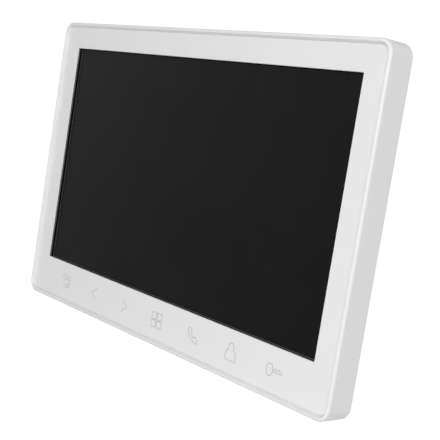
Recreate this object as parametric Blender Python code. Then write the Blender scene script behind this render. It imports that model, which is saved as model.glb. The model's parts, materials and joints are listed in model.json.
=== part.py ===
"""A wall-mounted video intercom monitor with a 10.1 inch display, built from its separate pieces.

Frame: +X to the viewer's right, +Y towards the wall, +Z up. The origin is the centre of the wall
bracket's back face, so the wall is the plane y = 0 and the display faces -Y.
Sizes are in millimetres. Each mesh is scaled to metres once, when its object is made.
"""

import math

import bmesh
import bpy
from mathutils import Matrix, Vector

MM = 0.001

# Fits
GAP = 0.3  # between two pieces that touch
SLIDE_GAP = 0.4  # around a piece that slides
ROOT_SINK = 0.6  # how far a rib or boss is sunk into the wall that it grows from
CUT_OVER = 1.0  # how far a cut runs past the wall that it goes through

# Display
ACTIVE_WIDTH = 222.72
ACTIVE_HEIGHT = 125.28
OPENING_SIDE = 1.59  # from the active area to the edge of the opening, left and right
OPENING_END = 0.51  # the same, above and below
POLARISER_SIDE = 2.5
POLARISER_END = 1.6
GLASS_SIDE = 4.4
GLASS_TOP = 9.0
GLASS_BOTTOM = 4.0
GASKET_MARGIN = 0.5  # between the polariser and the gasket
TRAY_WALL = 0.5

# Front case
SIDE_MARGIN = 14.8  # from the opening to the outer edge
TOP_MARGIN = 14.85
BOTTOM_MARGIN = 23.85
CORNER_RADIUS = 7.0
RIM_HEIGHT = 2.0  # from the face up to the crest of the rim
RIM_FILLET = 1.3
CREST_FLAT = 0.3
RIM_WIDTH = 2.7  # outer edge to the foot of the rim's inner slope
REAR_FILLET = 0.9
SKIRT_WALL = 2.2
PANEL_CHAMFER = 0.4
OPENING_RADIUS = 0.5

# Layers, front to back
PANEL_THICKNESS = 1.2
FLOOR_THICKNESS = 1.5
GASKET_THICKNESS = 0.7
POLARISER_THICKNESS = 0.25
GLASS_THICKNESS = 1.4
LIGHT_GUIDE_THICKNESS = 2.1
CARRIER_THICKNESS = 1.0
STANDOFF_HEIGHT = 2.1
BOARD_THICKNESS = 1.6
FLANGE_THICKNESS = 2.0
PART_ROOM = 0.9  # between the tallest part on the board and the cover's recess

# Rear cover
COVER_WALL = 2.0
WALL_GAP = 0.5  # between the cover's back and the wall
BACK_SIDE_INSET = 18.0  # from the outer edge in to the back box, left and right
BACK_END_INSET = 16.0  # the same, above and below
BACK_RADIUS = 8.0
BACK_FILLET = 1.4

# Wall bracket and its hooks
BRACKET_WIDTH = 116.0
BRACKET_HEIGHT = 92.0
BRACKET_THICKNESS = 1.5
BRACKET_RADIUS = 6.0
RECESS_CLEARANCE = 0.8
HOOK_X = 48.0
HOOK_Z = 30.0
HOOK_WIDTH = 8.0
HOOK_LIP = 5.0  # height of the lip above the arm
LIFT_TRAVEL = 8.0
HOOK_WINDOW = 8.0
CABLE_OPENING_WIDTH = 70.0
CABLE_OPENING_HEIGHT = 20.0
CABLE_OPENING_Z = -28.0
WINDOW_MARGIN = 1.0  # the cover's wiring window is smaller than the cable opening by this
WALL_SCREW_RADIUS = 2.3
ROUND_BOX_SPACING = 60.0  # screws of a round wall box
TALL_BOX_SPACING = 83.5  # screws of a tall wall box

# Main board
BOARD_PAST_SOCKETS = 22.0  # from the last socket to the board's right edge
BOARD_HEIGHT = 96.0
BOARD_SCREW_INSET = 5.0

# Larger parts on the board: how far from its left or right edge, and their places up
CAN_FROM_LEFT = 62.0
CAN_Z = 20.0
CAN_SIZE = (34.0, 3.0, 26.0)
CAN_WALL = 0.4
PROCESSOR_SIZE = (15.0, 1.3, 15.0)
MEMORY_SIZE = (9.0, 1.0, 13.0)
CHIP_GAP = 3.5  # between processor and memory
LEFT_PARTS = 28.0
TRANSFORMER_Z = 34.0
TRANSFORMER_SIZE = (14.0, 4.6, 12.0)
BATTERY_Z = 14.0
BATTERY_RADIUS = 6.25
BATTERY_THICKNESS = 2.0
RIGHT_PARTS = 35.0
INDUCTOR_Z = 4.0
INDUCTOR_SIZE = (10.0, 4.0, 10.0)
CAPACITOR_ZS = (20.0, 32.0)
CAPACITOR_RADIUS = 3.15
CAPACITOR_HEIGHT = 4.6

# Sockets that face down into the wiring window
SOCKET_HEIGHT = 5.6
SOCKET_DEPTH = 8.0
SOCKET_WALL = 0.7
SOCKET_CAVITY = 5.5
SOCKET_SPACING = 3.0
SOCKET_WIDTHS = {"door_socket_1": 12.5, "door_socket_2": 12.5, "alarm_socket": 17.5, "power_inlet": 10.0}

# Controls in the left wall of the back box
SWITCH_Z = 24.0
SWITCH_SIZE = (4.5, 5.0, 9.5)
SWITCH_TRAVEL = 2.5
KNOB_STEM = (1.6, 2.0)  # height along Y, length along Z
KNOB_CAP = (1.2, 3.2, 3.4)  # how far it stands out, height along Y, length along Z
STEM_DEPTH = 1.5  # how far the stem enters the switch
RESET_Z = 2.0
RESET_SIZE = (4.5, 4.5, 6.0)
RESET_RADIUS = 1.0
RESET_TRAVEL = 0.5
RESET_RECESS = 0.6
RESET_COLLAR = (1.6, 0.7)  # radius, thickness
CARD_Z = -22.0
CARD_SOCKET = (14.5, 1.9, 14.0)
CARD_SLOT = (13.0, 1.1, 11.6)

# Touch keys
KEY_NAMES = ("back", "left", "right", "menu", "handset", "person", "key")
KEY_PITCH = 30.0
KEY_FROM_EDGE = 13.0  # from the bottom edge up to the middle of the keys
KEY_PAD_RADIUS = 4.0
KEY_PAD_BORE = 2.0
KEY_PAD_HEIGHT = 3.2
KEY_BOARD_MARGIN = 6.0
KEY_BOARD_HEIGHT = 11.0
KEY_BOARD_THICKNESS = 1.2

# Loudspeaker and microphone
SPEAKER_RADIUS = 18.0
SPEAKER_DEPTH = 5.9
SPEAKER_Z = -30.0
SPEAKER_FROM_WALL = 3.0  # from its rib to the side of the back box
SPEAKER_RIB = 1.4
SPEAKER_RIB_HEIGHT = 3.5
SPEAKER_GASKET = 1.0
GRILLE_RADIUS = 14.0
GRILLE_SLOT = 1.8
GRILLE_PITCH = 3.6
VENT_COUNT = 12
VENT_SIZE = (2.4, 10.0)
VENT_PITCH = 6.0
VENT_FROM_WALL = 2.0
MIC_X = 15.0
MIC_HOLE_RADIUS = 0.6
MIC_RADIUS = 2.1
MIC_LENGTH = 2.6
BOOT_RADIUS = 3.3
BOOT_HEIGHT = 4.2
BOOT_FLOOR = 0.6

# Screws and bosses
BOSS_RADIUS = 2.8
BOSS_FROM_EDGE = 6.4
CARRIER_BOSS_Z = 52.0
CARRIER_EDGE = 0.9  # between the carrier plate and the skirt
CARRIER_END = 18.0  # from the outer edge to the carrier plate, above and below
CARRIER_RADIUS = 4.0
KEY_SCREW_PITCHES = 2.5  # key board screws sit between two keys
SHANK_RADIUS = 1.3
HEAD_RADIUS = 2.3
HEAD_THICKNESS = 1.0
COVER_SCREW_LENGTH = 6.0
SHORT_SCREW_LENGTH = 2.8
COUNTERBORE_DEPTH = 1.1

# Leads and label
RIBBON_THICKNESS = 0.4
DISPLAY_RIBBON_WIDTH = 30.0
TOUCH_RIBBON_WIDTH = 14.0
TOUCH_RIBBON_PITCHES = 1.5  # the touch ribbon leaves between two keys
RIBBON_LAP = 6.0  # how far a ribbon lies on the board that it joins
LEAD_RADIUS = 0.6
LABEL_SIZE = (34.0, 50.0, 0.3)
LABEL_POCKET = 0.5
LABEL_MARGIN = 0.5
LABEL_FROM_EDGE = 24.0  # from the side of the back box to the label's centre

CORNER_STEPS = 6
ARC_STEPS = 3
ROUND_SEGMENTS = 16
SMALL_SEGMENTS = 12
SMOOTH_ANGLE = math.radians(35)

# Worked out from the sizes above
OPENING_WIDTH = ACTIVE_WIDTH + 2 * OPENING_SIDE
OPENING_HEIGHT = ACTIVE_HEIGHT + 2 * OPENING_END
WIDTH = OPENING_WIDTH + 2 * SIDE_MARGIN
HEIGHT = OPENING_HEIGHT + TOP_MARGIN + BOTTOM_MARGIN
SCREEN_Z = (BOTTOM_MARGIN - TOP_MARGIN) / 2
GLASS_WIDTH = ACTIVE_WIDTH + 2 * GLASS_SIDE
GLASS_HEIGHT = ACTIVE_HEIGHT + GLASS_TOP + GLASS_BOTTOM
GLASS_Z = SCREEN_Z + (GLASS_TOP - GLASS_BOTTOM) / 2

# From the wall forwards
COVER_BACK_Y = -WALL_GAP
COVER_INNER_Y = COVER_BACK_Y - COVER_WALL
RECESS_Y = -BRACKET_THICKNESS - GAP
RECESS_INNER_Y = RECESS_Y - COVER_WALL
HOOK_INNER_Y = RECESS_INNER_Y - GAP
HOOK_TIP_Y = HOOK_INNER_Y - BRACKET_THICKNESS
PARTS_Y = RECESS_INNER_Y - PART_ROOM - SOCKET_HEIGHT
BOARD_BACK_Y = PARTS_Y - GAP
BOARD_Y = BOARD_BACK_Y - BOARD_THICKNESS
BACK_EDGE_Y = BOARD_Y + FLANGE_THICKNESS
CARRIER_BACK_Y = BOARD_Y - GAP - STANDOFF_HEIGHT
CARRIER_Y = CARRIER_BACK_Y - CARRIER_THICKNESS
TRAY_FLOOR_Y = CARRIER_Y - GAP - TRAY_WALL
LIGHT_GUIDE_Y = TRAY_FLOOR_Y - GAP - LIGHT_GUIDE_THICKNESS
GLASS_Y = LIGHT_GUIDE_Y - GAP - GLASS_THICKNESS
FLOOR_Y = GLASS_Y - GAP - GASKET_THICKNESS
FLOOR_BACK_Y = FLOOR_Y + FLOOR_THICKNESS
PANEL_BACK_Y = FLOOR_Y - GAP
FACE_Y = PANEL_BACK_Y - PANEL_THICKNESS
CREST_Y = FACE_Y - RIM_HEIGHT

# Across and up
BOX_HALF_WIDTH = WIDTH / 2 - BACK_SIDE_INSET
BOX_INNER_HALF = BOX_HALF_WIDTH - COVER_WALL
SOCKET_ROW = sum(SOCKET_WIDTHS.values()) + SOCKET_SPACING * (len(SOCKET_WIDTHS) - 1)
SOCKET_Z = CABLE_OPENING_Z + CABLE_OPENING_HEIGHT / 2
BOARD_LEFT = -BOX_INNER_HALF + SLIDE_GAP
BOARD_RIGHT = SOCKET_ROW / 2 + BOARD_PAST_SOCKETS
BOARD_X = (BOARD_LEFT + BOARD_RIGHT) / 2
SIDE_PARTS_X = -BOX_INNER_HALF + GAP
TRAY_WIDTH = GLASS_WIDTH + 2 * (GAP + TRAY_WALL)
TRAY_HEIGHT = GLASS_HEIGHT + 2 * (GAP + TRAY_WALL)
BOSS_X = WIDTH / 2 - BOSS_FROM_EDGE
BOSS_Z = HEIGHT / 2 - BOSS_FROM_EDGE
KEY_Z = -HEIGHT / 2 + KEY_FROM_EDGE
KEY_BOARD_Y = FLOOR_Y + KEY_PAD_HEIGHT + GAP
KEY_XS = [KEY_PITCH * (place - (len(KEY_NAMES) - 1) / 2) for place in range(len(KEY_NAMES))]
KEY_SCREW_X = KEY_PITCH * KEY_SCREW_PITCHES
SPEAKER_X = BOX_INNER_HALF - SPEAKER_RADIUS - GAP - SPEAKER_RIB - SPEAKER_FROM_WALL
SPEAKER_REAR_Y = COVER_INNER_Y - 2 * GAP - SPEAKER_GASKET
MIC_Y = (FLOOR_BACK_Y + BOARD_Y) / 2
SKIRT_INNER_Z = -HEIGHT / 2 + SKIRT_WALL

FINISHES = {
    "case_white": ((0.83, 0.84, 0.84), 0.42, 0.0),
    "panel_white": ((0.80, 0.81, 0.81), 0.32, 0.0),
    "screen_black": ((0.012, 0.013, 0.014), 0.22, 0.0),
    "glass_dark": ((0.03, 0.03, 0.035), 0.1, 0.0),
    "foam_black": ((0.02, 0.02, 0.02), 0.95, 0.0),
    "steel": ((0.58, 0.59, 0.60), 0.35, 1.0),
    "diffuser": ((0.9, 0.9, 0.9), 0.5, 0.0),
    "board_green": ((0.02, 0.16, 0.07), 0.4, 0.0),
    "chip_black": ((0.03, 0.03, 0.03), 0.5, 0.0),
    "socket_green": ((0.05, 0.35, 0.12), 0.45, 0.0),
    "plastic_black": ((0.025, 0.025, 0.025), 0.45, 0.0),
    "ribbon_amber": ((0.45, 0.2, 0.03), 0.35, 0.0),
    "paper_cone": ((0.06, 0.06, 0.06), 0.85, 0.0),
    "label_silver": ((0.7, 0.7, 0.7), 0.4, 0.0),
}


# ---------------------------------------------------------------- making shapes


def finish(name):
    """The material of that name, made the first time it is asked for."""
    made = bpy.data.materials.get(name)
    if made:
        return made
    colour, roughness, metallic = FINISHES[name]
    made = bpy.data.materials.new(name)
    made.use_nodes = True
    shader = made.node_tree.nodes["Principled BSDF"]
    shader.inputs["Base Color"].default_value = (*colour, 1.0)
    shader.inputs["Roughness"].default_value = roughness
    shader.inputs["Metallic"].default_value = metallic
    return made


def make_object(name, bm, finish_name, origin=(0.0, 0.0, 0.0)):
    """An object in metres from a bmesh in millimetres, with its own origin at the given point."""
    bmesh.ops.recalc_face_normals(bm, faces=bm.faces)
    bmesh.ops.translate(bm, verts=bm.verts, vec=-Vector(origin))
    bmesh.ops.scale(bm, verts=bm.verts, vec=(MM, MM, MM))
    mesh = bpy.data.meshes.new(name)
    bm.to_mesh(mesh)
    bm.free()
    mesh.shade_smooth()
    mesh.set_sharp_from_angle(angle=SMOOTH_ANGLE)
    mesh.materials.append(finish(finish_name))
    obj = bpy.data.objects.new(name, mesh)
    obj.location = Vector(origin) * MM
    bpy.context.scene.collection.objects.link(obj)
    return obj


def combine(obj, operation, bm):
    """Cut a helper shape out of an object, or join it on, with a Boolean modifier."""
    helper = make_object(f"{obj.name}_{operation.lower()}_{len(obj.modifiers)}", bm, "case_white")
    helper.hide_render = True
    helper.display_type = "WIRE"
    modifier = obj.modifiers.new(operation.title(), "BOOLEAN")
    modifier.operation = operation
    modifier.solver = "EXACT"
    modifier.object = helper


def outline(width, height, radius, y, x=0.0, z=0.0):
    """The points of a rounded rectangle in the plane of that y."""
    points = []
    for corner, (side, end) in enumerate(((1, 1), (-1, 1), (-1, -1), (1, -1))):
        for step in range(CORNER_STEPS + 1):
            angle = math.pi / 2 * (corner + step / CORNER_STEPS)
            points.append(
                (
                    x + side * (width / 2 - radius) + radius * math.cos(angle),
                    y,
                    z + end * (height / 2 - radius) + radius * math.sin(angle),
                )
            )
    return points


def case_outline(inset, y):
    """The case's outer outline, moved inwards."""
    radius = max(CORNER_RADIUS - inset, OPENING_RADIUS)
    return outline(WIDTH - 2 * inset, HEIGHT - 2 * inset, radius, y)


def box_outline(inset, y):
    """The back box's outer outline, moved inwards."""
    width = WIDTH - 2 * (BACK_SIDE_INSET + inset)
    height = HEIGHT - 2 * (BACK_END_INSET + inset)
    return outline(width, height, BACK_RADIUS - inset, y)


def loft(loops, ring=False):
    """A closed solid through loops of points: capped at both ends, or joined last to first."""
    bm = bmesh.new()
    rims = [[bm.verts.new(point) for point in loop] for loop in loops]
    pairs = list(zip(rims, rims[1:]))
    if ring:
        pairs.append((rims[-1], rims[0]))
    else:
        bm.faces.new(rims[0])
        bm.faces.new(rims[-1])
    for first, second in pairs:
        for i in range(len(first)):
            bm.faces.new((first[i - 1], first[i], second[i], second[i - 1]))
    return bm


def slab(width, height, radius, y_front, y_back, x=0.0, z=0.0):
    """A flat plate with rounded corners."""
    return loft([outline(width, height, radius, y, x, z) for y in (y_front, y_back)])


def add_box(bm, low, high):
    low, high = Vector(low), Vector(high)
    place = Matrix.Translation((low + high) / 2) @ Matrix.Diagonal((*(high - low), 1.0))
    bmesh.ops.create_cube(bm, size=1.0, matrix=place)


def add_rod(bm, start, end, radius, segments=SMALL_SEGMENTS):
    start, end = Vector(start), Vector(end)
    turn = (end - start).to_track_quat("Z", "Y").to_matrix().to_4x4()
    bmesh.ops.create_cone(
        bm,
        cap_ends=True,
        segments=segments,
        radius1=radius,
        radius2=radius,
        depth=(end - start).length,
        matrix=Matrix.Translation((start + end) / 2) @ turn,
    )


def box(low, high):
    bm = bmesh.new()
    add_box(bm, low, high)
    return bm


def boxes(corners):
    bm = bmesh.new()
    for low, high in corners:
        add_box(bm, low, high)
    return bm


def rods(places, segments=SMALL_SEGMENTS):
    """Rods along Y, from (x, z, radius, y_front, y_back)."""
    bm = bmesh.new()
    for x, z, radius, y_front, y_back in places:
        add_rod(bm, (x, y_front, z), (x, y_back, z), radius, segments)
    return bm


def turned(profile, centre, direction, segments=ROUND_SEGMENTS):
    """A solid of revolution. The profile gives radius and height along the direction."""
    bm = bmesh.new()
    verts = [bm.verts.new((radius, 0.0, height)) for radius, height in profile]
    edges = [bm.edges.new(pair) for pair in zip(verts, verts[1:])]
    if profile[0][0] > 0:
        edges.append(bm.edges.new((verts[-1], verts[0])))
    bmesh.ops.spin(
        bm,
        geom=verts + edges,
        cent=(0, 0, 0),
        axis=(0, 0, 1),
        angle=2 * math.pi,
        steps=segments,
        use_merge=True,
    )
    bmesh.ops.remove_doubles(bm, verts=bm.verts, dist=0.001)
    turn = Vector(direction).to_track_quat("Z", "Y").to_matrix().to_4x4()
    bmesh.ops.transform(bm, matrix=Matrix.Translation(centre) @ turn, verts=bm.verts)
    return bm


def quarter(centre_inset, centre_y, radius, start, end):
    """Points (inset, y) along an arc of the case's section, between two angles in degrees."""
    points = []
    for step in range(ARC_STEPS + 1):
        angle = math.radians(start + (end - start) * step / ARC_STEPS)
        points.append((centre_inset + radius * math.cos(angle), centre_y + radius * math.sin(angle)))
    return points


# ---------------------------------------------------------------- front case


def front_frame():
    """The outer shell: skirt, raised rim, and the floor that the face panel is glued to."""
    rear_arc = quarter(REAR_FILLET, BACK_EDGE_Y - REAR_FILLET, REAR_FILLET, 90, 180)
    rim_arc = quarter(RIM_FILLET, CREST_Y + RIM_FILLET, RIM_FILLET, 180, 270)
    section = rear_arc + rim_arc
    section += [(RIM_FILLET + CREST_FLAT, CREST_Y), (RIM_WIDTH, FACE_Y), (RIM_WIDTH, FLOOR_Y)]
    loops = [case_outline(inset, y) for inset, y in section]
    for y in (FLOOR_Y, FLOOR_BACK_Y):
        loops.append(
            outline(TRAY_WIDTH + 2 * GAP, TRAY_HEIGHT + 2 * GAP, 2 * OPENING_RADIUS, y, z=GLASS_Z)
        )
    loops += [case_outline(SKIRT_WALL, FLOOR_BACK_Y), case_outline(SKIRT_WALL, BACK_EDGE_Y)]
    frame = make_object("front_frame", loft(loops, ring=True), "case_white")

    root = FLOOR_BACK_Y - ROOT_SINK
    tops = [(x, z, BOARD_Y - GAP) for x, z in cover_screw_places()]
    tops += [(x, z, CARRIER_Y - GAP) for x, z in carrier_screw_places()]
    tops += [(x, z, KEY_BOARD_Y - GAP) for x, z in key_screw_places()]
    combine(frame, "UNION", rods([(x, z, BOSS_RADIUS, root, top) for x, z, top in tops]))

    pilot = SHANK_RADIUS + GAP
    cuts = rods([(x, z, pilot, FLOOR_BACK_Y - ROOT_SINK, top + CUT_OVER) for x, z, top in tops])
    for x in KEY_XS:
        hole = KEY_PAD_RADIUS + 2 * GAP
        add_rod(
            cuts,
            (x, FLOOR_Y - CUT_OVER / 2, KEY_Z),
            (x, FLOOR_BACK_Y + CUT_OVER / 2, KEY_Z),
            hole,
            ROUND_SEGMENTS,
        )
    add_rod(
        cuts,
        (MIC_X, MIC_Y, -HEIGHT / 2 - CUT_OVER),
        (MIC_X, MIC_Y, SKIRT_INNER_Z + CUT_OVER),
        MIC_HOLE_RADIUS,
    )
    combine(frame, "DIFFERENCE", cuts)
    return frame


def face_panel():
    """The inset plate around the screen. Its front edge has a fine chamfer."""
    edge = RIM_WIDTH + GAP
    loops = [
        case_outline(edge + PANEL_CHAMFER, FACE_Y),
        case_outline(edge, FACE_Y + PANEL_CHAMFER),
        case_outline(edge, PANEL_BACK_Y),
    ]
    for y in (PANEL_BACK_Y, FACE_Y):
        loops.append(outline(OPENING_WIDTH, OPENING_HEIGHT, OPENING_RADIUS, y, z=SCREEN_Z))
    return make_object("face_panel", loft(loops, ring=True), "panel_white")


# ---------------------------------------------------------------- display


def display_pieces():
    polariser_width = ACTIVE_WIDTH + 2 * POLARISER_SIDE
    polariser_height = ACTIVE_HEIGHT + 2 * POLARISER_END
    polariser_back = GLASS_Y - GAP
    polariser = slab(
        polariser_width,
        polariser_height,
        OPENING_RADIUS,
        polariser_back - POLARISER_THICKNESS,
        polariser_back,
        z=SCREEN_Z,
    )
    inner = (polariser_width + 2 * GASKET_MARGIN, polariser_height + 2 * GASKET_MARGIN)
    outer = (GLASS_WIDTH - 2 * GAP, GLASS_HEIGHT - 2 * GAP)
    gasket_back = FLOOR_Y + GASKET_THICKNESS
    gasket = loft(
        [
            outline(*outer, OPENING_RADIUS, FLOOR_Y, z=GLASS_Z),
            outline(*outer, OPENING_RADIUS, gasket_back, z=GLASS_Z),
            outline(*inner, OPENING_RADIUS, gasket_back, z=SCREEN_Z),
            outline(*inner, OPENING_RADIUS, FLOOR_Y, z=SCREEN_Z),
        ],
        ring=True,
    )
    glass_back = GLASS_Y + GLASS_THICKNESS
    glass = slab(GLASS_WIDTH, GLASS_HEIGHT, OPENING_RADIUS, GLASS_Y, glass_back, z=GLASS_Z)
    guide = slab(
        GLASS_WIDTH,
        GLASS_HEIGHT,
        OPENING_RADIUS,
        LIGHT_GUIDE_Y,
        LIGHT_GUIDE_Y + LIGHT_GUIDE_THICKNESS,
        z=GLASS_Z,
    )
    tray_front = GLASS_Y + GAP
    inside = (TRAY_WIDTH - 2 * TRAY_WALL, TRAY_HEIGHT - 2 * TRAY_WALL)
    tray = loft(
        [
            outline(*inside, OPENING_RADIUS, TRAY_FLOOR_Y, z=GLASS_Z),
            outline(*inside, OPENING_RADIUS, tray_front, z=GLASS_Z),
            outline(TRAY_WIDTH, TRAY_HEIGHT, 2 * OPENING_RADIUS, tray_front, z=GLASS_Z),
            outline(TRAY_WIDTH, TRAY_HEIGHT, 2 * OPENING_RADIUS, TRAY_FLOOR_Y + TRAY_WALL, z=GLASS_Z),
        ]
    )
    return [
        make_object("front_polariser", polariser, "screen_black"),
        make_object("display_gasket", gasket, "foam_black"),
        make_object("display_glass", glass, "glass_dark"),
        make_object("light_guide", guide, "diffuser"),
        make_object("display_tray", tray, "steel"),
    ]


def carrier_plate():
    """The steel plate that holds the display against its gasket and carries the main board."""
    width = WIDTH - 2 * (SKIRT_WALL + CARRIER_EDGE)
    height = HEIGHT - 2 * CARRIER_END
    plate = slab(width, height, CARRIER_RADIUS, CARRIER_Y, CARRIER_BACK_Y)
    carrier = make_object("carrier_plate", plate, "steel")
    spots = board_screw_places()
    root = CARRIER_Y + CARRIER_THICKNESS / 2
    top = CARRIER_BACK_Y + STANDOFF_HEIGHT
    combine(carrier, "UNION", rods([(x, z, BOSS_RADIUS, root, top) for x, z in spots]))
    pilot = SHANK_RADIUS + GAP
    spots += carrier_screw_places()
    low, high = CARRIER_Y - CUT_OVER, top + CUT_OVER
    combine(carrier, "DIFFERENCE", rods([(x, z, pilot, low, high) for x, z in spots]))
    return carrier


# ---------------------------------------------------------------- screws


def four_corners(x, z, middle_x=0.0):
    return [(middle_x + side * x, end * z) for side in (-1, 1) for end in (-1, 1)]


def cover_screw_places():
    return four_corners(BOSS_X, BOSS_Z)


def carrier_screw_places():
    return four_corners(BOSS_X, CARRIER_BOSS_Z)


def board_screw_places():
    across = (BOARD_RIGHT - BOARD_LEFT) / 2 - BOARD_SCREW_INSET
    return four_corners(across, BOARD_HEIGHT / 2 - BOARD_SCREW_INSET, BOARD_X)


def key_screw_places():
    return [(-KEY_SCREW_X, KEY_Z), (KEY_SCREW_X, KEY_Z)]


def screws(name, places, seat_y, length):
    """Pan-head screws driven towards -Y, with the underside of the head just clear of its seat."""
    under = seat_y + GAP
    made = []
    for number, (x, z) in enumerate(places, 1):
        profile = [
            (0.0, -length),
            (SHANK_RADIUS, -length + SHANK_RADIUS / 2),
            (SHANK_RADIUS, 0.0),
            (HEAD_RADIUS, 0.0),
            (HEAD_RADIUS, HEAD_THICKNESS / 2),
            (HEAD_RADIUS - HEAD_THICKNESS / 2, HEAD_THICKNESS),
            (0.0, HEAD_THICKNESS),
        ]
        shape = turned(profile, (x, under, z), (0, 1, 0), SMALL_SEGMENTS)
        made.append(make_object(f"{name}_{number}", shape, "steel"))
    return made


def all_screws():
    counterbore_y = BACK_EDGE_Y - COUNTERBORE_DEPTH
    made = screws("cover_screw", cover_screw_places(), counterbore_y, COVER_SCREW_LENGTH)
    made += screws("carrier_screw", carrier_screw_places(), CARRIER_BACK_Y, SHORT_SCREW_LENGTH)
    made += screws("board_screw", board_screw_places(), BOARD_BACK_Y, SHORT_SCREW_LENGTH)
    key_back = KEY_BOARD_Y + KEY_BOARD_THICKNESS
    made += screws("key_board_screw", key_screw_places(), key_back, SHORT_SCREW_LENGTH)
    return made


# ---------------------------------------------------------------- main board and what is on it


def block(name, x, z, size, finish_name="chip_black"):
    """A plain part that stands on the board."""
    width, thickness, height = size
    low = (x - width / 2, PARTS_Y, z - height / 2)
    high = (x + width / 2, PARTS_Y + thickness, z + height / 2)
    return make_object(name, box(low, high), finish_name)


def main_board():
    low = (BOARD_LEFT, BOARD_Y, -BOARD_HEIGHT / 2)
    high = (BOARD_RIGHT, BOARD_BACK_Y, BOARD_HEIGHT / 2)
    board = make_object("main_board", box(low, high), "board_green")
    hole = SHANK_RADIUS + GAP
    ends = (BOARD_Y - CUT_OVER, BOARD_BACK_Y + CUT_OVER)
    combine(board, "DIFFERENCE", rods([(x, z, hole, *ends) for x, z in board_screw_places()]))
    return board


def shield_can():
    """A pressed can, open towards the board, over the processor and its memory."""
    x = BOARD_LEFT + CAN_FROM_LEFT
    width, depth, height = CAN_SIZE
    can = block("shield_can", x, CAN_Z, CAN_SIZE, "steel")
    half_width, half_height = width / 2 - CAN_WALL, height / 2 - CAN_WALL
    low = (x - half_width, PARTS_Y - CUT_OVER, CAN_Z - half_height)
    high = (x + half_width, PARTS_Y + depth - CAN_WALL, CAN_Z + half_height)
    combine(can, "DIFFERENCE", box(low, high))
    row = PROCESSOR_SIZE[0] + CHIP_GAP + MEMORY_SIZE[0]
    processor_x = x - row / 2 + PROCESSOR_SIZE[0] / 2
    memory_x = x + row / 2 - MEMORY_SIZE[0] / 2
    return [
        can,
        block("processor", processor_x, CAN_Z, PROCESSOR_SIZE),
        block("memory_chip", memory_x, CAN_Z, MEMORY_SIZE),
    ]


def round_part(name, x, z, radius, thickness, edge):
    """A cylinder that stands on the board, with a small chamfer at its free end."""
    profile = [
        (0.0, 0.0),
        (radius, 0.0),
        (radius, thickness - edge),
        (radius - edge, thickness),
        (0.0, thickness),
    ]
    return make_object(name, turned(profile, (x, PARTS_Y, z), (0, 1, 0)), "steel")


def board_parts():
    """The larger parts on the board, placed from its left and right edges."""
    left, right = BOARD_LEFT + LEFT_PARTS, BOARD_RIGHT - RIGHT_PARTS
    made = shield_can()
    made.append(block("audio_transformer", left, TRANSFORMER_Z, TRANSFORMER_SIZE, "plastic_black"))
    made.append(block("power_inductor", right, INDUCTOR_Z, INDUCTOR_SIZE))
    for number, z in enumerate(CAPACITOR_ZS, 1):
        made.append(round_part(f"capacitor_{number}", right, z, CAPACITOR_RADIUS, CAPACITOR_HEIGHT, 0.4))
    made.append(round_part("clock_battery", left, BATTERY_Z, BATTERY_RADIUS, BATTERY_THICKNESS, 0.5))
    return made


def wire_sockets():
    """A row of sockets with their mouths facing down, just above the wiring window."""
    left, bottom = -SOCKET_ROW / 2, SOCKET_Z
    made = []
    for name, width in SOCKET_WIDTHS.items():
        low = (left, PARTS_Y, bottom)
        high = (left + width, PARTS_Y + SOCKET_HEIGHT, bottom + SOCKET_DEPTH)
        socket = make_object(name, box(low, high), "socket_green")
        mouth_low = (left + SOCKET_WALL, PARTS_Y + SOCKET_WALL, bottom - CUT_OVER)
        mouth_high = (
            left + width - SOCKET_WALL,
            PARTS_Y + SOCKET_HEIGHT - SOCKET_WALL,
            bottom + SOCKET_CAVITY,
        )
        combine(socket, "DIFFERENCE", box(mouth_low, mouth_high))
        made.append(socket)
        left += width + SOCKET_SPACING
    return made


def card_socket():
    length, height, width = CARD_SOCKET
    low = (SIDE_PARTS_X, PARTS_Y, CARD_Z - width / 2)
    high = (SIDE_PARTS_X + length, PARTS_Y + height, CARD_Z + width / 2)
    socket = make_object("memory_card_socket", box(low, high), "steel")
    depth, slot_height, slot_width = CARD_SLOT
    wall = (height - slot_height) / 2
    cut_low = (SIDE_PARTS_X - CUT_OVER, PARTS_Y + wall, CARD_Z - slot_width / 2)
    cut_high = (SIDE_PARTS_X + depth, PARTS_Y + wall + slot_height, CARD_Z + slot_width / 2)
    combine(socket, "DIFFERENCE", box(cut_low, cut_high))
    return socket


# ---------------------------------------------------------------- switch and reset button


def switch_middle_y():
    return PARTS_Y + SWITCH_SIZE[1] / 2


def knob_rest_z():
    return SWITCH_Z - SWITCH_TRAVEL / 2


def slot_half_length():
    return (KNOB_STEM[1] + SWITCH_TRAVEL) / 2 + SLIDE_GAP


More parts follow.
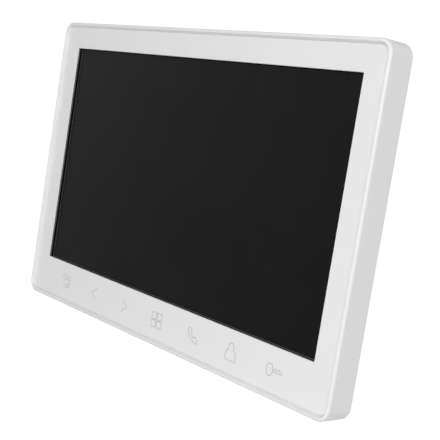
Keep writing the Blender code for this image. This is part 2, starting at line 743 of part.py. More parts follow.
def power_switch():
    """The slide switch: a fixed body, and the knob that reaches it through the wall."""
    depth, height, length = SWITCH_SIZE
    middle = switch_middle_y()
    low = (SIDE_PARTS_X, PARTS_Y, SWITCH_Z - length / 2)
    high = (SIDE_PARTS_X + depth, PARTS_Y + height, SWITCH_Z + length / 2)
    body = make_object("power_switch_body", box(low, high), "plastic_black")
    stem_height, stem_length = KNOB_STEM
    stem_end = SIDE_PARTS_X + STEM_DEPTH
    groove = stem_height / 2 + SLIDE_GAP
    cut_low = (SIDE_PARTS_X - CUT_OVER, middle - groove, SWITCH_Z - slot_half_length())
    cut_high = (stem_end + SLIDE_GAP, middle + groove, SWITCH_Z + slot_half_length())
    combine(body, "DIFFERENCE", box(cut_low, cut_high))

    stands_out, cap_height, cap_length = KNOB_CAP
    rest = knob_rest_z()
    cap_inner = -BOX_HALF_WIDTH - GAP
    cap_low = (cap_inner - stands_out, middle - cap_height / 2, rest - cap_length / 2)
    cap_high = (cap_inner, middle + cap_height / 2, rest + cap_length / 2)
    knob = make_object(
        "power_switch_knob", box(cap_low, cap_high), "plastic_black", (cap_inner, middle, rest)
    )
    stem_low = (cap_inner - stands_out / 2, middle - stem_height / 2, rest - stem_length / 2)
    stem_high = (stem_end, middle + stem_height / 2, rest + stem_length / 2)
    combine(knob, "UNION", box(stem_low, stem_high))
    return body, knob


def reset_parts():
    """The reset switch, and its plunger in a small hole of the wall."""
    depth, height, length = RESET_SIZE
    middle = switch_middle_y()
    collar_radius, collar_thickness = RESET_COLLAR
    mouth = -BOX_HALF_WIDTH + RESET_RECESS
    collar = SIDE_PARTS_X - mouth
    tip = collar + collar_thickness + SLIDE_GAP
    profile = [
        (0.0, 0.0),
        (RESET_RADIUS, 0.0),
        (RESET_RADIUS, collar),
        (collar_radius, collar),
        (collar_radius, collar + collar_thickness),
        (RESET_RADIUS, collar + collar_thickness),
        (RESET_RADIUS, tip),
        (0.0, tip),
    ]
    place = (mouth, middle, RESET_Z)
    plunger = make_object(
        "reset_button", turned(profile, place, (1, 0, 0), SMALL_SEGMENTS), "plastic_black", place
    )
    face = mouth + tip + RESET_TRAVEL + GAP
    low = (face, PARTS_Y, RESET_Z - length / 2)
    high = (face + depth, PARTS_Y + height, RESET_Z + length / 2)
    body = make_object("reset_switch_body", box(low, high), "plastic_black")
    return body, plunger


# ---------------------------------------------------------------- touch keys


def touch_keys():
    """The key board behind the floor, and one ring-shaped pad in each hole of the floor."""
    half = KEY_XS[-1] + KEY_BOARD_MARGIN
    back = KEY_BOARD_Y + KEY_BOARD_THICKNESS
    low = (-half, KEY_BOARD_Y, KEY_Z - KEY_BOARD_HEIGHT / 2)
    high = (half, back, KEY_Z + KEY_BOARD_HEIGHT / 2)
    board = make_object("touch_key_board", box(low, high), "board_green")
    hole = SHANK_RADIUS + GAP
    ends = (KEY_BOARD_Y - CUT_OVER, back + CUT_OVER)
    combine(board, "DIFFERENCE", rods([(x, z, hole, *ends) for x, z in key_screw_places()]))
    made = [board]
    for name, x in zip(KEY_NAMES, KEY_XS):
        profile = [
            (KEY_PAD_BORE, 0.0),
            (KEY_PAD_RADIUS, 0.0),
            (KEY_PAD_RADIUS, KEY_PAD_HEIGHT),
            (KEY_PAD_BORE, KEY_PAD_HEIGHT),
        ]
        pad = turned(profile, (x, FLOOR_Y, KEY_Z), (0, 1, 0), SMALL_SEGMENTS)
        made.append(make_object(f"key_pad_{name}", pad, "foam_black"))
    return made


# ---------------------------------------------------------------- loudspeaker and microphone


def speaker():
    """The loudspeaker faces the wall, behind the grille. Its profile runs from the magnet back."""
    place = (SPEAKER_X, SPEAKER_REAR_Y - SPEAKER_DEPTH, SPEAKER_Z)
    wall = 0.8
    rim = SPEAKER_RADIUS
    basket = [
        (0.0, 0.0),
        (9.0, 0.0),
        (9.0, 2.0),
        (rim - 3.0, SPEAKER_DEPTH - 1.2),
        (rim, SPEAKER_DEPTH - 1.2),
        (rim, SPEAKER_DEPTH),
        (rim - 2.6, SPEAKER_DEPTH),
        (9.0, 2.0 + wall),
        (0.0, 2.0 + wall),
    ]
    cone = [
        (0.0, 4.4),
        (4.0, 4.0),
        (rim - 4.2, SPEAKER_DEPTH),
        (rim - 3.4, SPEAKER_DEPTH),
        (rim - 3.4, SPEAKER_DEPTH + 0.5),
        (rim - 4.6, SPEAKER_DEPTH + 0.5),
        (4.0, 4.6),
        (0.0, 5.0),
    ]
    gasket_place = (SPEAKER_X, SPEAKER_REAR_Y + GAP, SPEAKER_Z)
    gasket = [
        (rim - 2.4, 0.0),
        (rim, 0.0),
        (rim, SPEAKER_GASKET),
        (rim - 2.4, SPEAKER_GASKET),
    ]
    towards_wall = (0, 1, 0)
    return [
        make_object("speaker_basket", turned(basket, place, towards_wall), "steel"),
        make_object("speaker_cone", turned(cone, place, towards_wall), "paper_cone"),
        make_object("speaker_gasket", turned(gasket, gasket_place, towards_wall), "foam_black"),
    ]


def microphone():
    """The microphone looks down through a hole of the bottom wall, inside a rubber boot."""
    base = SKIRT_INNER_Z + GAP
    inner = MIC_RADIUS + GAP
    boot = [
        (MIC_HOLE_RADIUS, 0.0),
        (BOOT_RADIUS, 0.0),
        (BOOT_RADIUS, BOOT_HEIGHT),
        (inner, BOOT_HEIGHT),
        (inner, BOOT_FLOOR),
        (MIC_HOLE_RADIUS, BOOT_FLOOR),
    ]
    capsule = [(0.0, 0.0), (MIC_RADIUS, 0.0), (MIC_RADIUS, MIC_LENGTH), (0.0, MIC_LENGTH)]
    seat = (MIC_X, MIC_Y, base + BOOT_FLOOR + GAP)
    up = (0, 0, 1)
    return [
        make_object("microphone_boot", turned(boot, (MIC_X, MIC_Y, base), up), "foam_black"),
        make_object("microphone", turned(capsule, seat, up, SMALL_SEGMENTS), "steel"),
    ]


# ---------------------------------------------------------------- ribbons and leads


def ribbon(name, middle_x, width, route):
    """A flat ribbon: a strip of even thickness that follows (y, z) points, extruded along X."""
    bm = bmesh.new()
    half = RIBBON_THICKNESS / 2
    sides = ([], [])
    for place, (y, z) in enumerate(route):
        before = Vector(route[max(place - 1, 0)])
        after = Vector(route[min(place + 1, len(route) - 1)])
        along = (after - before).normalized()
        for side, sign in zip(sides, (1, -1)):
            point = (middle_x - width / 2, y - sign * half * along.y, z + sign * half * along.x)
            side.append(bm.verts.new(point))
    strip = bm.faces.new(sides[0] + sides[1][::-1])
    pulled = bmesh.ops.extrude_face_region(bm, geom=[strip])["geom"]
    moved = [part for part in pulled if isinstance(part, bmesh.types.BMVert)]
    bmesh.ops.translate(bm, verts=moved, vec=(width, 0, 0))
    return make_object(name, bm, "ribbon_amber")


def ribbons():
    half = RIBBON_THICKNESS / 2
    lap_y = BOARD_BACK_Y + GAP + half
    channel_y = (CARRIER_BACK_Y + BOARD_Y) / 2
    tray_top = GLASS_Z + TRAY_HEIGHT / 2 + GAP + half
    tray_back = TRAY_FLOOR_Y + TRAY_WALL
    board_end = BOARD_HEIGHT / 2
    display_route = [
        (GLASS_Y + GLASS_THICKNESS, tray_top),
        (tray_back, tray_top),
        (channel_y - 0.6, tray_top - 0.3),
        (channel_y, tray_top - 1.4),
        (channel_y, board_end + 12.0),
        (channel_y + 0.6, board_end + 9.0),
        (lap_y - 0.4, board_end + 2.5),
        (lap_y, board_end + 0.5),
        (lap_y, board_end - RIBBON_LAP),
    ]
    key_back = KEY_BOARD_Y + KEY_BOARD_THICKNESS + GAP + half
    touch_route = [
        (key_back, KEY_Z + 3.0),
        (key_back, KEY_Z - 1.0),
        (key_back + 0.8, KEY_Z - 2.4),
        (channel_y - 0.8, KEY_Z - 2.4),
        (channel_y, KEY_Z - 1.0),
        (channel_y, -board_end - 10.0),
        (channel_y + 0.6, -board_end - 7.5),
        (lap_y - 0.4, -board_end - 2.0),
        (lap_y, -board_end - 0.5),
        (lap_y, -board_end + RIBBON_LAP),
    ]
    return [
        ribbon("display_ribbon", 0.0, DISPLAY_RIBBON_WIDTH, display_route),
        ribbon("touch_ribbon", -KEY_PITCH * TOUCH_RIBBON_PITCHES, TOUCH_RIBBON_WIDTH, touch_route),
    ]


def speaker_lead():
    """The lead between the loudspeaker and the board, held inside the case all the way."""
    start = Vector((SPEAKER_X - 13.0, SPEAKER_REAR_Y - SPEAKER_DEPTH + 1.0, SPEAKER_Z + 6.0))
    end = Vector((BOARD_RIGHT - 8.0, PARTS_Y + LEAD_RADIUS, SOCKET_Z + SOCKET_DEPTH + 4.0))
    lead = bpy.data.curves.new("speaker_lead", "CURVE")
    lead.dimensions = "3D"
    lead.bevel_depth = LEAD_RADIUS * MM
    lead.bevel_resolution = 2
    lead.use_fill_caps = True
    spline = lead.splines.new("POLY")
    steps = 8
    spline.points.add(steps)
    for step, point in enumerate(spline.points):
        share = step / steps
        place = start.lerp(end, share)
        place.z += 3.0 * math.sin(math.pi * share)
        point.co = (*(place * MM), 1.0)
    lead.materials.append(finish("foam_black"))
    obj = bpy.data.objects.new("speaker_lead", lead)
    bpy.context.scene.collection.objects.link(obj)
    return obj


# ---------------------------------------------------------------- rear cover and wall bracket


def recess_span():
    """Lowest and highest z of the bracket's recess, which leaves room for the lift."""
    half = BRACKET_HEIGHT / 2
    return -half - LIFT_TRAVEL - RECESS_CLEARANCE, half + RECESS_CLEARANCE


def hook_arm(z):
    """Lowest and highest z of a hook's arm."""
    return z - BRACKET_THICKNESS / 2, z + BRACKET_THICKNESS / 2


def hook_places():
    return four_corners(HOOK_X, HOOK_Z)


def grille_slots(low_y, high_y):
    slots = []
    reach = int(GRILLE_RADIUS / GRILLE_PITCH)
    for row in range(-reach, reach + 1):
        offset = row * GRILLE_PITCH
        half = math.sqrt(GRILLE_RADIUS**2 - offset**2)
        z = SPEAKER_Z + offset
        slots.append(
            (
                (SPEAKER_X - half, low_y, z - GRILLE_SLOT / 2),
                (SPEAKER_X + half, high_y, z + GRILLE_SLOT / 2),
            )
        )
    return slots


def vent_slots(low_y, high_y):
    width, height = VENT_SIZE
    top = HEIGHT / 2 - BACK_END_INSET - COVER_WALL - VENT_FROM_WALL
    first = -VENT_PITCH * (VENT_COUNT - 1) / 2
    return [
        (
            (first + VENT_PITCH * place - width / 2, low_y, top - height),
            (first + VENT_PITCH * place + width / 2, high_y, top),
        )
        for place in range(VENT_COUNT)
    ]


def hook_slots(low_y, high_y):
    half = HOOK_WIDTH / 2 + SLIDE_GAP
    slots = []
    for x, z in hook_places():
        bottom, top = hook_arm(z)
        slots.append(
            (
                (x - half, low_y, bottom - LIFT_TRAVEL - RECESS_CLEARANCE),
                (x + half, high_y, top + GAP),
            )
        )
    return slots


def side_slots():
    """Openings of the left wall, for the switch knob and the memory card."""
    low_x, high_x = -BOX_HALF_WIDTH - CUT_OVER, -BOX_INNER_HALF + GAP / 2
    middle = switch_middle_y()
    groove = KNOB_STEM[0] / 2 + SLIDE_GAP
    card_low = PARTS_Y + GAP
    card_high = PARTS_Y + CARD_SOCKET[1]
    card_half = CARD_SLOT[2] / 2 + GAP
    return [
        (
            (low_x, middle - groove, SWITCH_Z - slot_half_length()),
            (high_x, middle + groove, SWITCH_Z + slot_half_length()),
        ),
        ((low_x, card_low, CARD_Z - card_half), (high_x, card_high, CARD_Z + card_half)),
    ]


def rear_cover():
    """The flange that closes the case, and the back box with everything that opens in it."""
    edge = SKIRT_WALL + GAP
    fillet = quarter(BACK_FILLET, COVER_BACK_Y - BACK_FILLET, BACK_FILLET, 90, 180)
    loops = [box_outline(inset, y) for inset, y in fillet]
    loops.append(box_outline(0.0, BACK_EDGE_Y))
    loops += [
        case_outline(edge, BACK_EDGE_Y),
        case_outline(edge, BOARD_Y),
        box_outline(COVER_WALL, BOARD_Y),
        box_outline(COVER_WALL, COVER_INNER_Y),
    ]
    cover = make_object("rear_cover", loft(loops), "case_white")

    low_z, high_z = recess_span()
    half_width = BRACKET_WIDTH / 2 + RECESS_CLEARANCE
    pad = slab(
        2 * (half_width + COVER_WALL),
        high_z - low_z + 2 * COVER_WALL,
        BRACKET_RADIUS,
        RECESS_INNER_Y,
        COVER_INNER_Y + ROOT_SINK,
        z=(low_z + high_z) / 2,
    )
    combine(cover, "UNION", pad)
    rib_inner = SPEAKER_RADIUS + GAP
    rib_front = COVER_INNER_Y - SPEAKER_RIB_HEIGHT
    rib_rise = SPEAKER_RIB_HEIGHT + ROOT_SINK
    rib = [
        (rib_inner, 0.0),
        (rib_inner + SPEAKER_RIB, 0.0),
        (rib_inner + SPEAKER_RIB, rib_rise),
        (rib_inner, rib_rise),
    ]
    combine(cover, "UNION", turned(rib, (SPEAKER_X, rib_front, SPEAKER_Z), (0, 1, 0)))
    recess = slab(
        2 * half_width,
        high_z - low_z,
        BRACKET_RADIUS,
        RECESS_Y,
        CUT_OVER,
        z=(low_z + high_z) / 2,
    )
    combine(cover, "DIFFERENCE", recess)

    low_y, high_y = RECESS_INNER_Y - CUT_OVER, COVER_BACK_Y + CUT_OVER
    window_half = CABLE_OPENING_WIDTH / 2 - WINDOW_MARGIN
    window_low = CABLE_OPENING_Z - CABLE_OPENING_HEIGHT / 2 + WINDOW_MARGIN
    window_high = CABLE_OPENING_Z + CABLE_OPENING_HEIGHT / 2 - WINDOW_MARGIN
    openings = [((-window_half, low_y, window_low), (window_half, high_y, window_high))]
    openings += hook_slots(low_y, high_y) + vent_slots(low_y, high_y)
    openings += grille_slots(low_y, high_y) + side_slots()
    cuts = boxes(openings)
    label_x, label_z = label_place()
    pocket_half = (LABEL_SIZE[0] / 2 + LABEL_MARGIN, LABEL_SIZE[1] / 2 + LABEL_MARGIN)
    add_box(
        cuts,
        (label_x - pocket_half[0], COVER_BACK_Y - LABEL_POCKET, label_z - pocket_half[1]),
        (label_x + pocket_half[0], COVER_BACK_Y + CUT_OVER, label_z + pocket_half[1]),
    )
    middle = switch_middle_y()
    add_rod(
        cuts,
        (-BOX_HALF_WIDTH - CUT_OVER, middle, RESET_Z),
        (-BOX_INNER_HALF + GAP / 2, middle, RESET_Z),
        RESET_RADIUS + SLIDE_GAP,
    )
    combine(cover, "DIFFERENCE", cuts)

    seat = BACK_EDGE_Y - COUNTERBORE_DEPTH
    bores = bmesh.new()
    for x, z in cover_screw_places():
        steps = [
            (0.0, BOARD_Y - CUT_OVER),
            (SHANK_RADIUS + GAP, BOARD_Y - CUT_OVER),
            (SHANK_RADIUS + GAP, seat),
            (HEAD_RADIUS + GAP, seat),
            (HEAD_RADIUS + GAP, BACK_EDGE_Y + CUT_OVER),
            (0.0, BACK_EDGE_Y + CUT_OVER),
        ]
        bore = turned(steps, (x, 0.0, z), (0, 1, 0), SMALL_SEGMENTS)
        bore_mesh = bpy.data.meshes.new("bore")
        bore.to_mesh(bore_mesh)
        bore.free()
        bores.from_mesh(bore_mesh)
        bpy.data.meshes.remove(bore_mesh)
    combine(cover, "DIFFERENCE", bores)
    return cover


def label_place():
    """The rating label sits between the side of the back box and the recess."""
    return -BOX_HALF_WIDTH + LABEL_FROM_EDGE, 0.0


def rating_label():
    x, z = label_place()
    width, height, thickness = LABEL_SIZE
    front = COVER_BACK_Y - LABEL_POCKET + GAP
    return make_object(
        "rating_label", slab(width, height, 1.0, front, front + thickness, x, z), "label_silver"
    )


def wall_bracket():
    """A pressed steel plate with four hooks that enter the rear cover and point up."""
    plate = slab(BRACKET_WIDTH, BRACKET_HEIGHT, BRACKET_RADIUS, -BRACKET_THICKNESS, 0.0)
    bracket = make_object("wall_bracket", plate, "steel")
    hooks, lips = [], []
    for x, z in hook_places():
        bottom, top = hook_arm(z)
        left, right = x - HOOK_WIDTH / 2, x + HOOK_WIDTH / 2
        hooks.append(((left, HOOK_TIP_Y, bottom), (right, -BRACKET_THICKNESS / 2, top)))
        lips.append(((left, HOOK_TIP_Y, z), (right, HOOK_INNER_Y, top + HOOK_LIP)))
    combine(bracket, "UNION", boxes(hooks))
    combine(bracket, "UNION", boxes(lips))
    low_y, high_y = -BRACKET_THICKNESS - CUT_OVER, CUT_OVER
    windows = []
    for x, z in hook_places():
        top = hook_arm(z)[1]
        half = HOOK_WIDTH / 2 + GAP
        windows.append(((x - half, low_y, top), (x + half, high_y, top + HOOK_WINDOW)))
    half = CABLE_OPENING_WIDTH / 2
    opening_low = CABLE_OPENING_Z - CABLE_OPENING_HEIGHT / 2
    opening_high = CABLE_OPENING_Z + CABLE_OPENING_HEIGHT / 2
    windows.append(((-half, low_y, opening_low), (half, high_y, opening_high)))
    cuts = boxes(windows)
    across, up = ROUND_BOX_SPACING / 2, TALL_BOX_SPACING / 2
    for x, z in ((-across, 0.0), (across, 0.0), (0.0, -up), (0.0, up)):
        add_rod(cuts, (x, low_y, z), (x, high_y, z), WALL_SCREW_RADIUS, ROUND_SEGMENTS)
    combine(bracket, "DIFFERENCE", cuts)
    return bracket


# ---------------------------------------------------------------- the whole monitor


def main():
    for obj in list(bpy.data.objects):
        bpy.data.objects.remove(obj, do_unlink=True)
    wall_bracket()
    switch_body, knob = power_switch()
    reset_body, plunger = reset_parts()
    pieces = [front_frame(), face_panel(), carrier_plate(), main_board(), card_socket()]
    pieces += [rear_cover(), rating_label(), speaker_lead(), switch_body, knob, reset_body, plunger]
    pieces += display_pieces() + board_parts() + wire_sockets() + touch_keys()
    pieces += speaker() + microphone() + ribbons() + all_screws()
    monitor = bpy.data.objects.new("monitor", None)
    bpy.context.scene.collection.objects.link(monitor)
    for piece in pieces:
        piece.parent = monitor


main()
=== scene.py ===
"""Looks of a wall-mounted video intercom monitor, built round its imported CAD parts.

The frame is the CAD's: +X to the viewer's right, +Y towards the wall, +Z up, display facing -Y.
Shapes are worked in millimetres, and each piece is brought to metres once, when it is finished.
"""

import json
import math

import bmesh
import bpy
from mathutils import Matrix, Vector

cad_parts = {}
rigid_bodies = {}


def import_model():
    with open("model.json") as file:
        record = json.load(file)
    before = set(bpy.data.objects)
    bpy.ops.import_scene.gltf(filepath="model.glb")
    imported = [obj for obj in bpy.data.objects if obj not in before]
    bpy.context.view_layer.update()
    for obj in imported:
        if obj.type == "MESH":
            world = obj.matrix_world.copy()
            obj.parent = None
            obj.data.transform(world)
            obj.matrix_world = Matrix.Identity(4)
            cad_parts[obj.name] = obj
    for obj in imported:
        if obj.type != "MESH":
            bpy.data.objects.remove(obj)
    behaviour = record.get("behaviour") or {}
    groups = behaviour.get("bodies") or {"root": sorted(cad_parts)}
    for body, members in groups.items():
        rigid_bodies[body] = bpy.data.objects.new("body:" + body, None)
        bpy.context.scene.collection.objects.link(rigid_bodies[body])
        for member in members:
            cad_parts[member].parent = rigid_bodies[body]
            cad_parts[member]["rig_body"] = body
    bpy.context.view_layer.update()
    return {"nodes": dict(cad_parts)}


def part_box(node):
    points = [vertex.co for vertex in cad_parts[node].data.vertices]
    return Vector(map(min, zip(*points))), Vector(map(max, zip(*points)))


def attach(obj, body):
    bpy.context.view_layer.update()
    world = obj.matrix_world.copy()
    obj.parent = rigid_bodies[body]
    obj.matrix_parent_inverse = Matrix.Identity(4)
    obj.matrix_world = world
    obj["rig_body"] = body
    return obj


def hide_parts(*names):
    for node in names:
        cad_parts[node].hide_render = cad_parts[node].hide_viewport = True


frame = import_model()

MM = 0.001

# Front case, as its section runs from the outer edge inwards
CORNER_RADIUS = 7.0
CORNER_STEPS = 12
REAR_FILLET = 0.9
RIM_FILLET = 1.3
CREST = 1.6  # outer edge to the inner edge of the crest
CREST_FILLET = 0.35
RIM_WIDTH = 2.7
RIM_DROP = 2.0
SKIRT_WALL = 2.2
FLOOR_THICKNESS = 1.5
FACE_FLOOR = 3.5  # crest down to the floor that the panel lies on
TRAY_CORNER = 1.0
FIT_GAP = 0.3  # between the case and the parts that it carries

# Screw bosses on the floor's back, the holes for the key rings, and the microphone's mouth
BOSS_RADIUS = 2.8
BOSS_CHAMFER = 0.2
BOSS_ROOT = 0.6  # sunk into the floor, so that the two join
BOSS_TOPS = {  # kind of screw: the part that lies on its bosses
    "cover_screw": "rear_cover",
    "carrier_screw": "carrier_plate",
    "key_board_screw": "touch_key_board",
}
PILOT_RADIUS = 1.6
PILOT_SINK = 0.35  # into the floor
KEY_HOLE_RADIUS = 4.6
KEY_HOLE_START = 1.0  # behind the crest, in the open recess
MIC_HOLE = 0.6  # radius
MIC_FLARE = 1.2
MIC_FLARE_DEPTH = 0.25

# Face panel and the film over the display
PANEL_LAP = 0.05  # of the panel's edge, under the rim's foot
OPENING_RADIUS = 0.5
OPENING_EDGE = 0.22
POLARISER_LAP = Vector((0.91, 0.0, 1.09))  # hidden behind the panel, at each side and end
POLARISER_EDGE = 0.05
ACTIVE_MARGIN = Vector((2.5, 0.0, 1.6))  # film edge to the picture area
# Width of the lighter grey line at the picture area's left and bottom edges
PICTURE_EDGE_LINE = 0.32

# Printed key marks
MARK_LINE = 0.17
MARK_RISE = 0.02

# Screws
SCREW_HEAD = 1.0
SCREW_CORE = 1.05
SCREW_THREAD = 1.3
SCREW_PITCH = 0.7
SCREW_POINT = 0.55
SCREW_STEPS = 24
CROSS_LONG = 1.25  # half of an arm's length, and half of its width below
CROSS_SHORT = 0.28
CROSS_DEPTH = 0.62
CROSS_TAPER = 0.62  # size of the recess at its floor, against its mouth
CROSS_TURN = math.radians(27)

# Studio, in metres, and its light
FLOOR_Z = -0.6
FLOOR_RADIUS = 6.0
FLOOR_STEPS = 96
FLOOR_FADE = (0.3, 0.6)  # the floor turns from its grey painted shade to its white, glowing painted light between these places
# Painted shade of the floor under and before the object, then its painted light and glow behind it
FLOOR_SHADE_GREY = (0.55, 0.55, 0.55)
FLOOR_LIT_WHITE = (0.92, 0.92, 0.92)
FLOOR_PAINTED_GLOW = 0.6
ROOM_TONE = (0.29, 0.53)  # below and above eye level
ROOM_BLEND = (-0.35, 0.35)  # the two tones meet between these heights of the line of sight
PATCH_SPREAD = (0.78, 0.94)  # where the white patch behind the object begins and is full, as cosines
PATCH_TONE = 1.06
WHITE = (1.0, 1.0, 1.0, 1.0)
KEY_PLACE = (0.64, -0.76, 0.29)
KEY_SIZE = 0.5
KEY_POWER = 5.2
FILL_PLACE = (0.05, -0.62, -0.5)
FILL_SIZE = 0.4
FILL_POWER = 1.6
CAMERA_PLACE = (0.39134, -0.33451, 0.03754)
CAMERA_RIGHT = (0.6404, 0.7518, 0.1569)
CAMERA_BACK = (0.7472, -0.6571, 0.0991)
CAMERA_SENSOR = 36.0
CAMERA_LENS = 79.47

# Fineness of arcs and of shading, and what counts as one point or one plane
ARC_STEPS = 4
TURN_STEPS = 32
SMOOTH_ANGLE = math.radians(32)
SHARP_EDGE = math.radians(40)
FLAT_ANGLE = math.radians(0.5)
SAME_POINT = 0.0005
SAME_CAD_POINT = 0.002

NODES = frame["nodes"]
BODY_OF = {name: node["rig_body"] for name, node in NODES.items()}


# ---------------------------------------------------------------- finishes


class Finish:
    """A procedural finish. Its patterns lie on Object coordinates, so their sizes are real."""

    def __init__(self, name, roughness, metallic=0.0, **sockets):
        self.material = bpy.data.materials.new(name)
        self.material.use_nodes = True
        self.tree = self.material.node_tree
        self.shader = self.tree.nodes["Principled BSDF"]
        self.shader.inputs["Roughness"].default_value = roughness
        self.shader.inputs["Metallic"].default_value = metallic
        for socket, value in sockets.items():
            self.shader.inputs[socket.replace("_", " ")].default_value = value
        self.place = self.node("ShaderNodeTexCoord").outputs["Object"]
        self.roughness = roughness

    def node(self, kind, **settings):
        """A new node with its settings."""
        made = self.tree.nodes.new(kind)
        for key, value in settings.items():
            setattr(made, key, value)
        return made

    def link(self, start, end):
        self.tree.links.new(start, end)
        return self

    def noise(self, size, detail=2.0, stretch=None, contrast=0.5):
        """Noise whose grains are about that many millimetres across."""
        made = self.node("ShaderNodeTexNoise")
        made.inputs["Scale"].default_value = 1.0 / (size * MM)
        made.inputs["Detail"].default_value = detail
        made.inputs["Roughness"].default_value = contrast
        source = self.place
        if stretch:
            mapping = self.node("ShaderNodeMapping")
            mapping.inputs["Scale"].default_value = stretch
            self.link(source, mapping.inputs["Vector"])
            source = mapping.outputs["Vector"]
        self.link(source, made.inputs["Vector"])
        return made.outputs["Fac"]

    def cells(self, size, crystals=False):
        """Rounded cells, or crystals that each have one tone, about that many millimetres across."""
        made = self.node("ShaderNodeTexVoronoi")
        made.inputs["Scale"].default_value = 1.0 / (size * MM)
        self.link(self.place, made.inputs["Vector"])
        return made.outputs["Color" if crystals else "Distance"]

    def ramp(self, source, *stops):
        """Colours that follow a pattern: each stop is a place from 0 to 1 and a colour."""
        made = self.node("ShaderNodeValToRGB")
        elements = made.color_ramp.elements
        while len(elements) < len(stops):
            elements.new(0.5)
        for element, (place, colour) in zip(elements, stops):
            element.position = place
            element.color = (*colour, 1.0)
        self.link(source, made.inputs["Fac"])
        return made.outputs["Color"]

    def colour(self, source, first, second, low=0.3, high=0.7):
        """The colour wanders between two near tones."""
        self.link(self.ramp(source, (low, first), (high, second)), self.shader.inputs["Base Color"])
        return self

    def range_of(self, source, low, high, start=0.3, end=0.7):
        """A pattern's values from start to end, spread from low to high."""
        made = self.node("ShaderNodeMapRange")
        for socket, value in zip(("From Min", "From Max", "To Min", "To Max"), (start, end, low, high)):
            made.inputs[socket].default_value = value
        self.link(source, made.inputs["Value"])
        return made.outputs["Result"]

    def gloss(self, source, spread):
        """The roughness wanders by that much either way."""
        result = self.range_of(source, self.roughness - spread, self.roughness + spread)
        return self.link(result, self.shader.inputs["Roughness"])

    def bump(self, source, depth, strength):
        """Relief that is that many millimetres deep. A second call lies over the first."""
        made = self.node("ShaderNodeBump")
        made.inputs["Distance"].default_value = depth * MM
        made.inputs["Strength"].default_value = strength
        self.link(source, made.inputs["Height"])
        normal = self.shader.inputs["Normal"]
        if normal.is_linked:
            self.link(normal.links[0].from_socket, made.inputs["Normal"])
        return self.link(made.outputs["Normal"], normal)


def moulded(name, colour, other, roughness, grain, depth):
    """Moulded plastic: a fine spark-eroded texture over a very slight unevenness of tone."""
    made = Finish(name, roughness)
    made.colour(made.noise(14.0, 4.0), colour, other)
    made.gloss(made.noise(3.0, 3.0), 0.04)
    made.bump(made.noise(9.0, 2.0), depth * 1.5, 0.3)
    return made.bump(made.noise(grain, 3.0, contrast=0.6), depth, 0.6)


def plated(name, colour, other, roughness, spangle, brushed=None):
    """Plated or bright sheet: faint crystals, and drawing lines where it is brushed."""
    made = Finish(name, roughness, metallic=1.0)
    made.colour(made.cells(spangle, crystals=True), colour, other, 0.2, 0.8)
    made.gloss(made.noise(spangle, 4.0), 0.07)
    made.bump(made.noise(0.5, 3.0), 0.004, 0.5)
    if brushed:
        made.bump(made.noise(0.25, 2.0, stretch=brushed), 0.004, 0.6)
    return made


def panel_finish():
    """Satin acrylic, smoother than the case, with a clear hard coat."""
    made = Finish("panel_white", 0.34, Coat_Weight=0.25, Coat_Roughness=0.22)
    made.colour(made.noise(18.0, 3.0), (0.795, 0.80, 0.80), (0.81, 0.815, 0.815))
    made.gloss(made.noise(2.2, 4.0), 0.03)
    made.bump(made.noise(22.0, 2.0), 0.012, 0.35)
    made.bump(made.noise(0.16, 2.0), 0.0012, 0.5)
    return made.material


def mark_finish():
    """Screen-printed grey ink, a little uneven at the weave of the screen."""
    made = Finish("mark_grey", 0.55)
    made.colour(made.noise(0.4, 3.0), (0.34, 0.345, 0.35), (0.40, 0.405, 0.41))
    made.gloss(made.noise(0.6), 0.06)
    made.bump(made.noise(0.08), 0.004, 0.6)
    return made.material


def picture_finish():
    """Anti-glare film over a picture area that is off: black, with a fine etched haze."""
    made = Finish("picture_black", 0.26, IOR=1.30)
    made.colour(made.noise(30.0, 2.0), (0.0042, 0.0042, 0.0044), (0.0054, 0.0054, 0.0056))
    made.gloss(made.noise(0.9, 4.0), 0.035)
    made.bump(made.noise(0.06, 2.0), 0.0012, 0.6)
    return made.material


def border_finish():
    """Black masking ink under the same film."""
    made = Finish("border_black", 0.24, IOR=1.20)
    made.colour(made.noise(8.0, 2.0), (0.0045, 0.0045, 0.0046), (0.0060, 0.0060, 0.0061))
    made.gloss(made.noise(0.9, 4.0), 0.03)
    made.bump(made.noise(0.06, 2.0), 0.0012, 0.6)
    return made.material


def picture_edge_line_finish():
    """A lighter grey line between the masking and the picture area."""
    made = Finish("picture_edge_grey", 0.36)
    made.colour(made.noise(2.0, 3.0), (0.10, 0.10, 0.102), (0.13, 0.13, 0.132))
    made.gloss(made.noise(0.5, 3.0), 0.05)
    made.bump(made.noise(0.3, 2.0), 0.002, 0.5)
    return made.material


def opening_shade_finish():
    """Painted shade: the wall of the panel's opening is coloured dark grey to stand in for the shade inside
    the opening.
    """
    made = Finish("opening_painted_shade", 0.45)
    made.colour(made.noise(3.0, 3.0), (0.17, 0.17, 0.172), (0.21, 0.21, 0.212))
    made.gloss(made.noise(0.7, 3.0), 0.05)
    made.bump(made.noise(0.2, 2.0), 0.002, 0.5)
    return made.material


def glass_finish():
    """The display's own glass, dark from behind and with a clear coat."""
    made = Finish("display_glass", 0.08, Coat_Weight=0.4, Coat_Roughness=0.05)
    made.colour(made.noise(25.0), (0.018, 0.019, 0.023), (0.026, 0.027, 0.031))
    made.gloss(made.noise(6.0, 3.0), 0.03)
    return made.bump(made.noise(30.0, 2.0), 0.006, 0.3).material


def foam_finish():
    """Closed-cell foam and soft rubber: small open cells at the cut faces."""
    made = Finish("foam_black", 0.88)
    cells = made.cells(0.35)
    made.colour(cells, (0.012, 0.012, 0.012), (0.030, 0.030, 0.030), 0.05, 0.6)
    made.gloss(made.noise(1.0, 3.0), 0.06)
    return made.bump(cells, 0.12, 0.7).material


def guide_finish():
    """Clear acrylic with its grid of printed dots."""
    made = Finish("diffuser", 0.22, Coat_Weight=0.5, Coat_Roughness=0.08)
    dots = made.cells(1.1)
    made.colour(dots, (0.93, 0.94, 0.95), (0.80, 0.83, 0.86), 0.15, 0.32)
    made.gloss(made.noise(4.0, 3.0), 0.05)
    return made.bump(dots, 0.02, 0.4).material


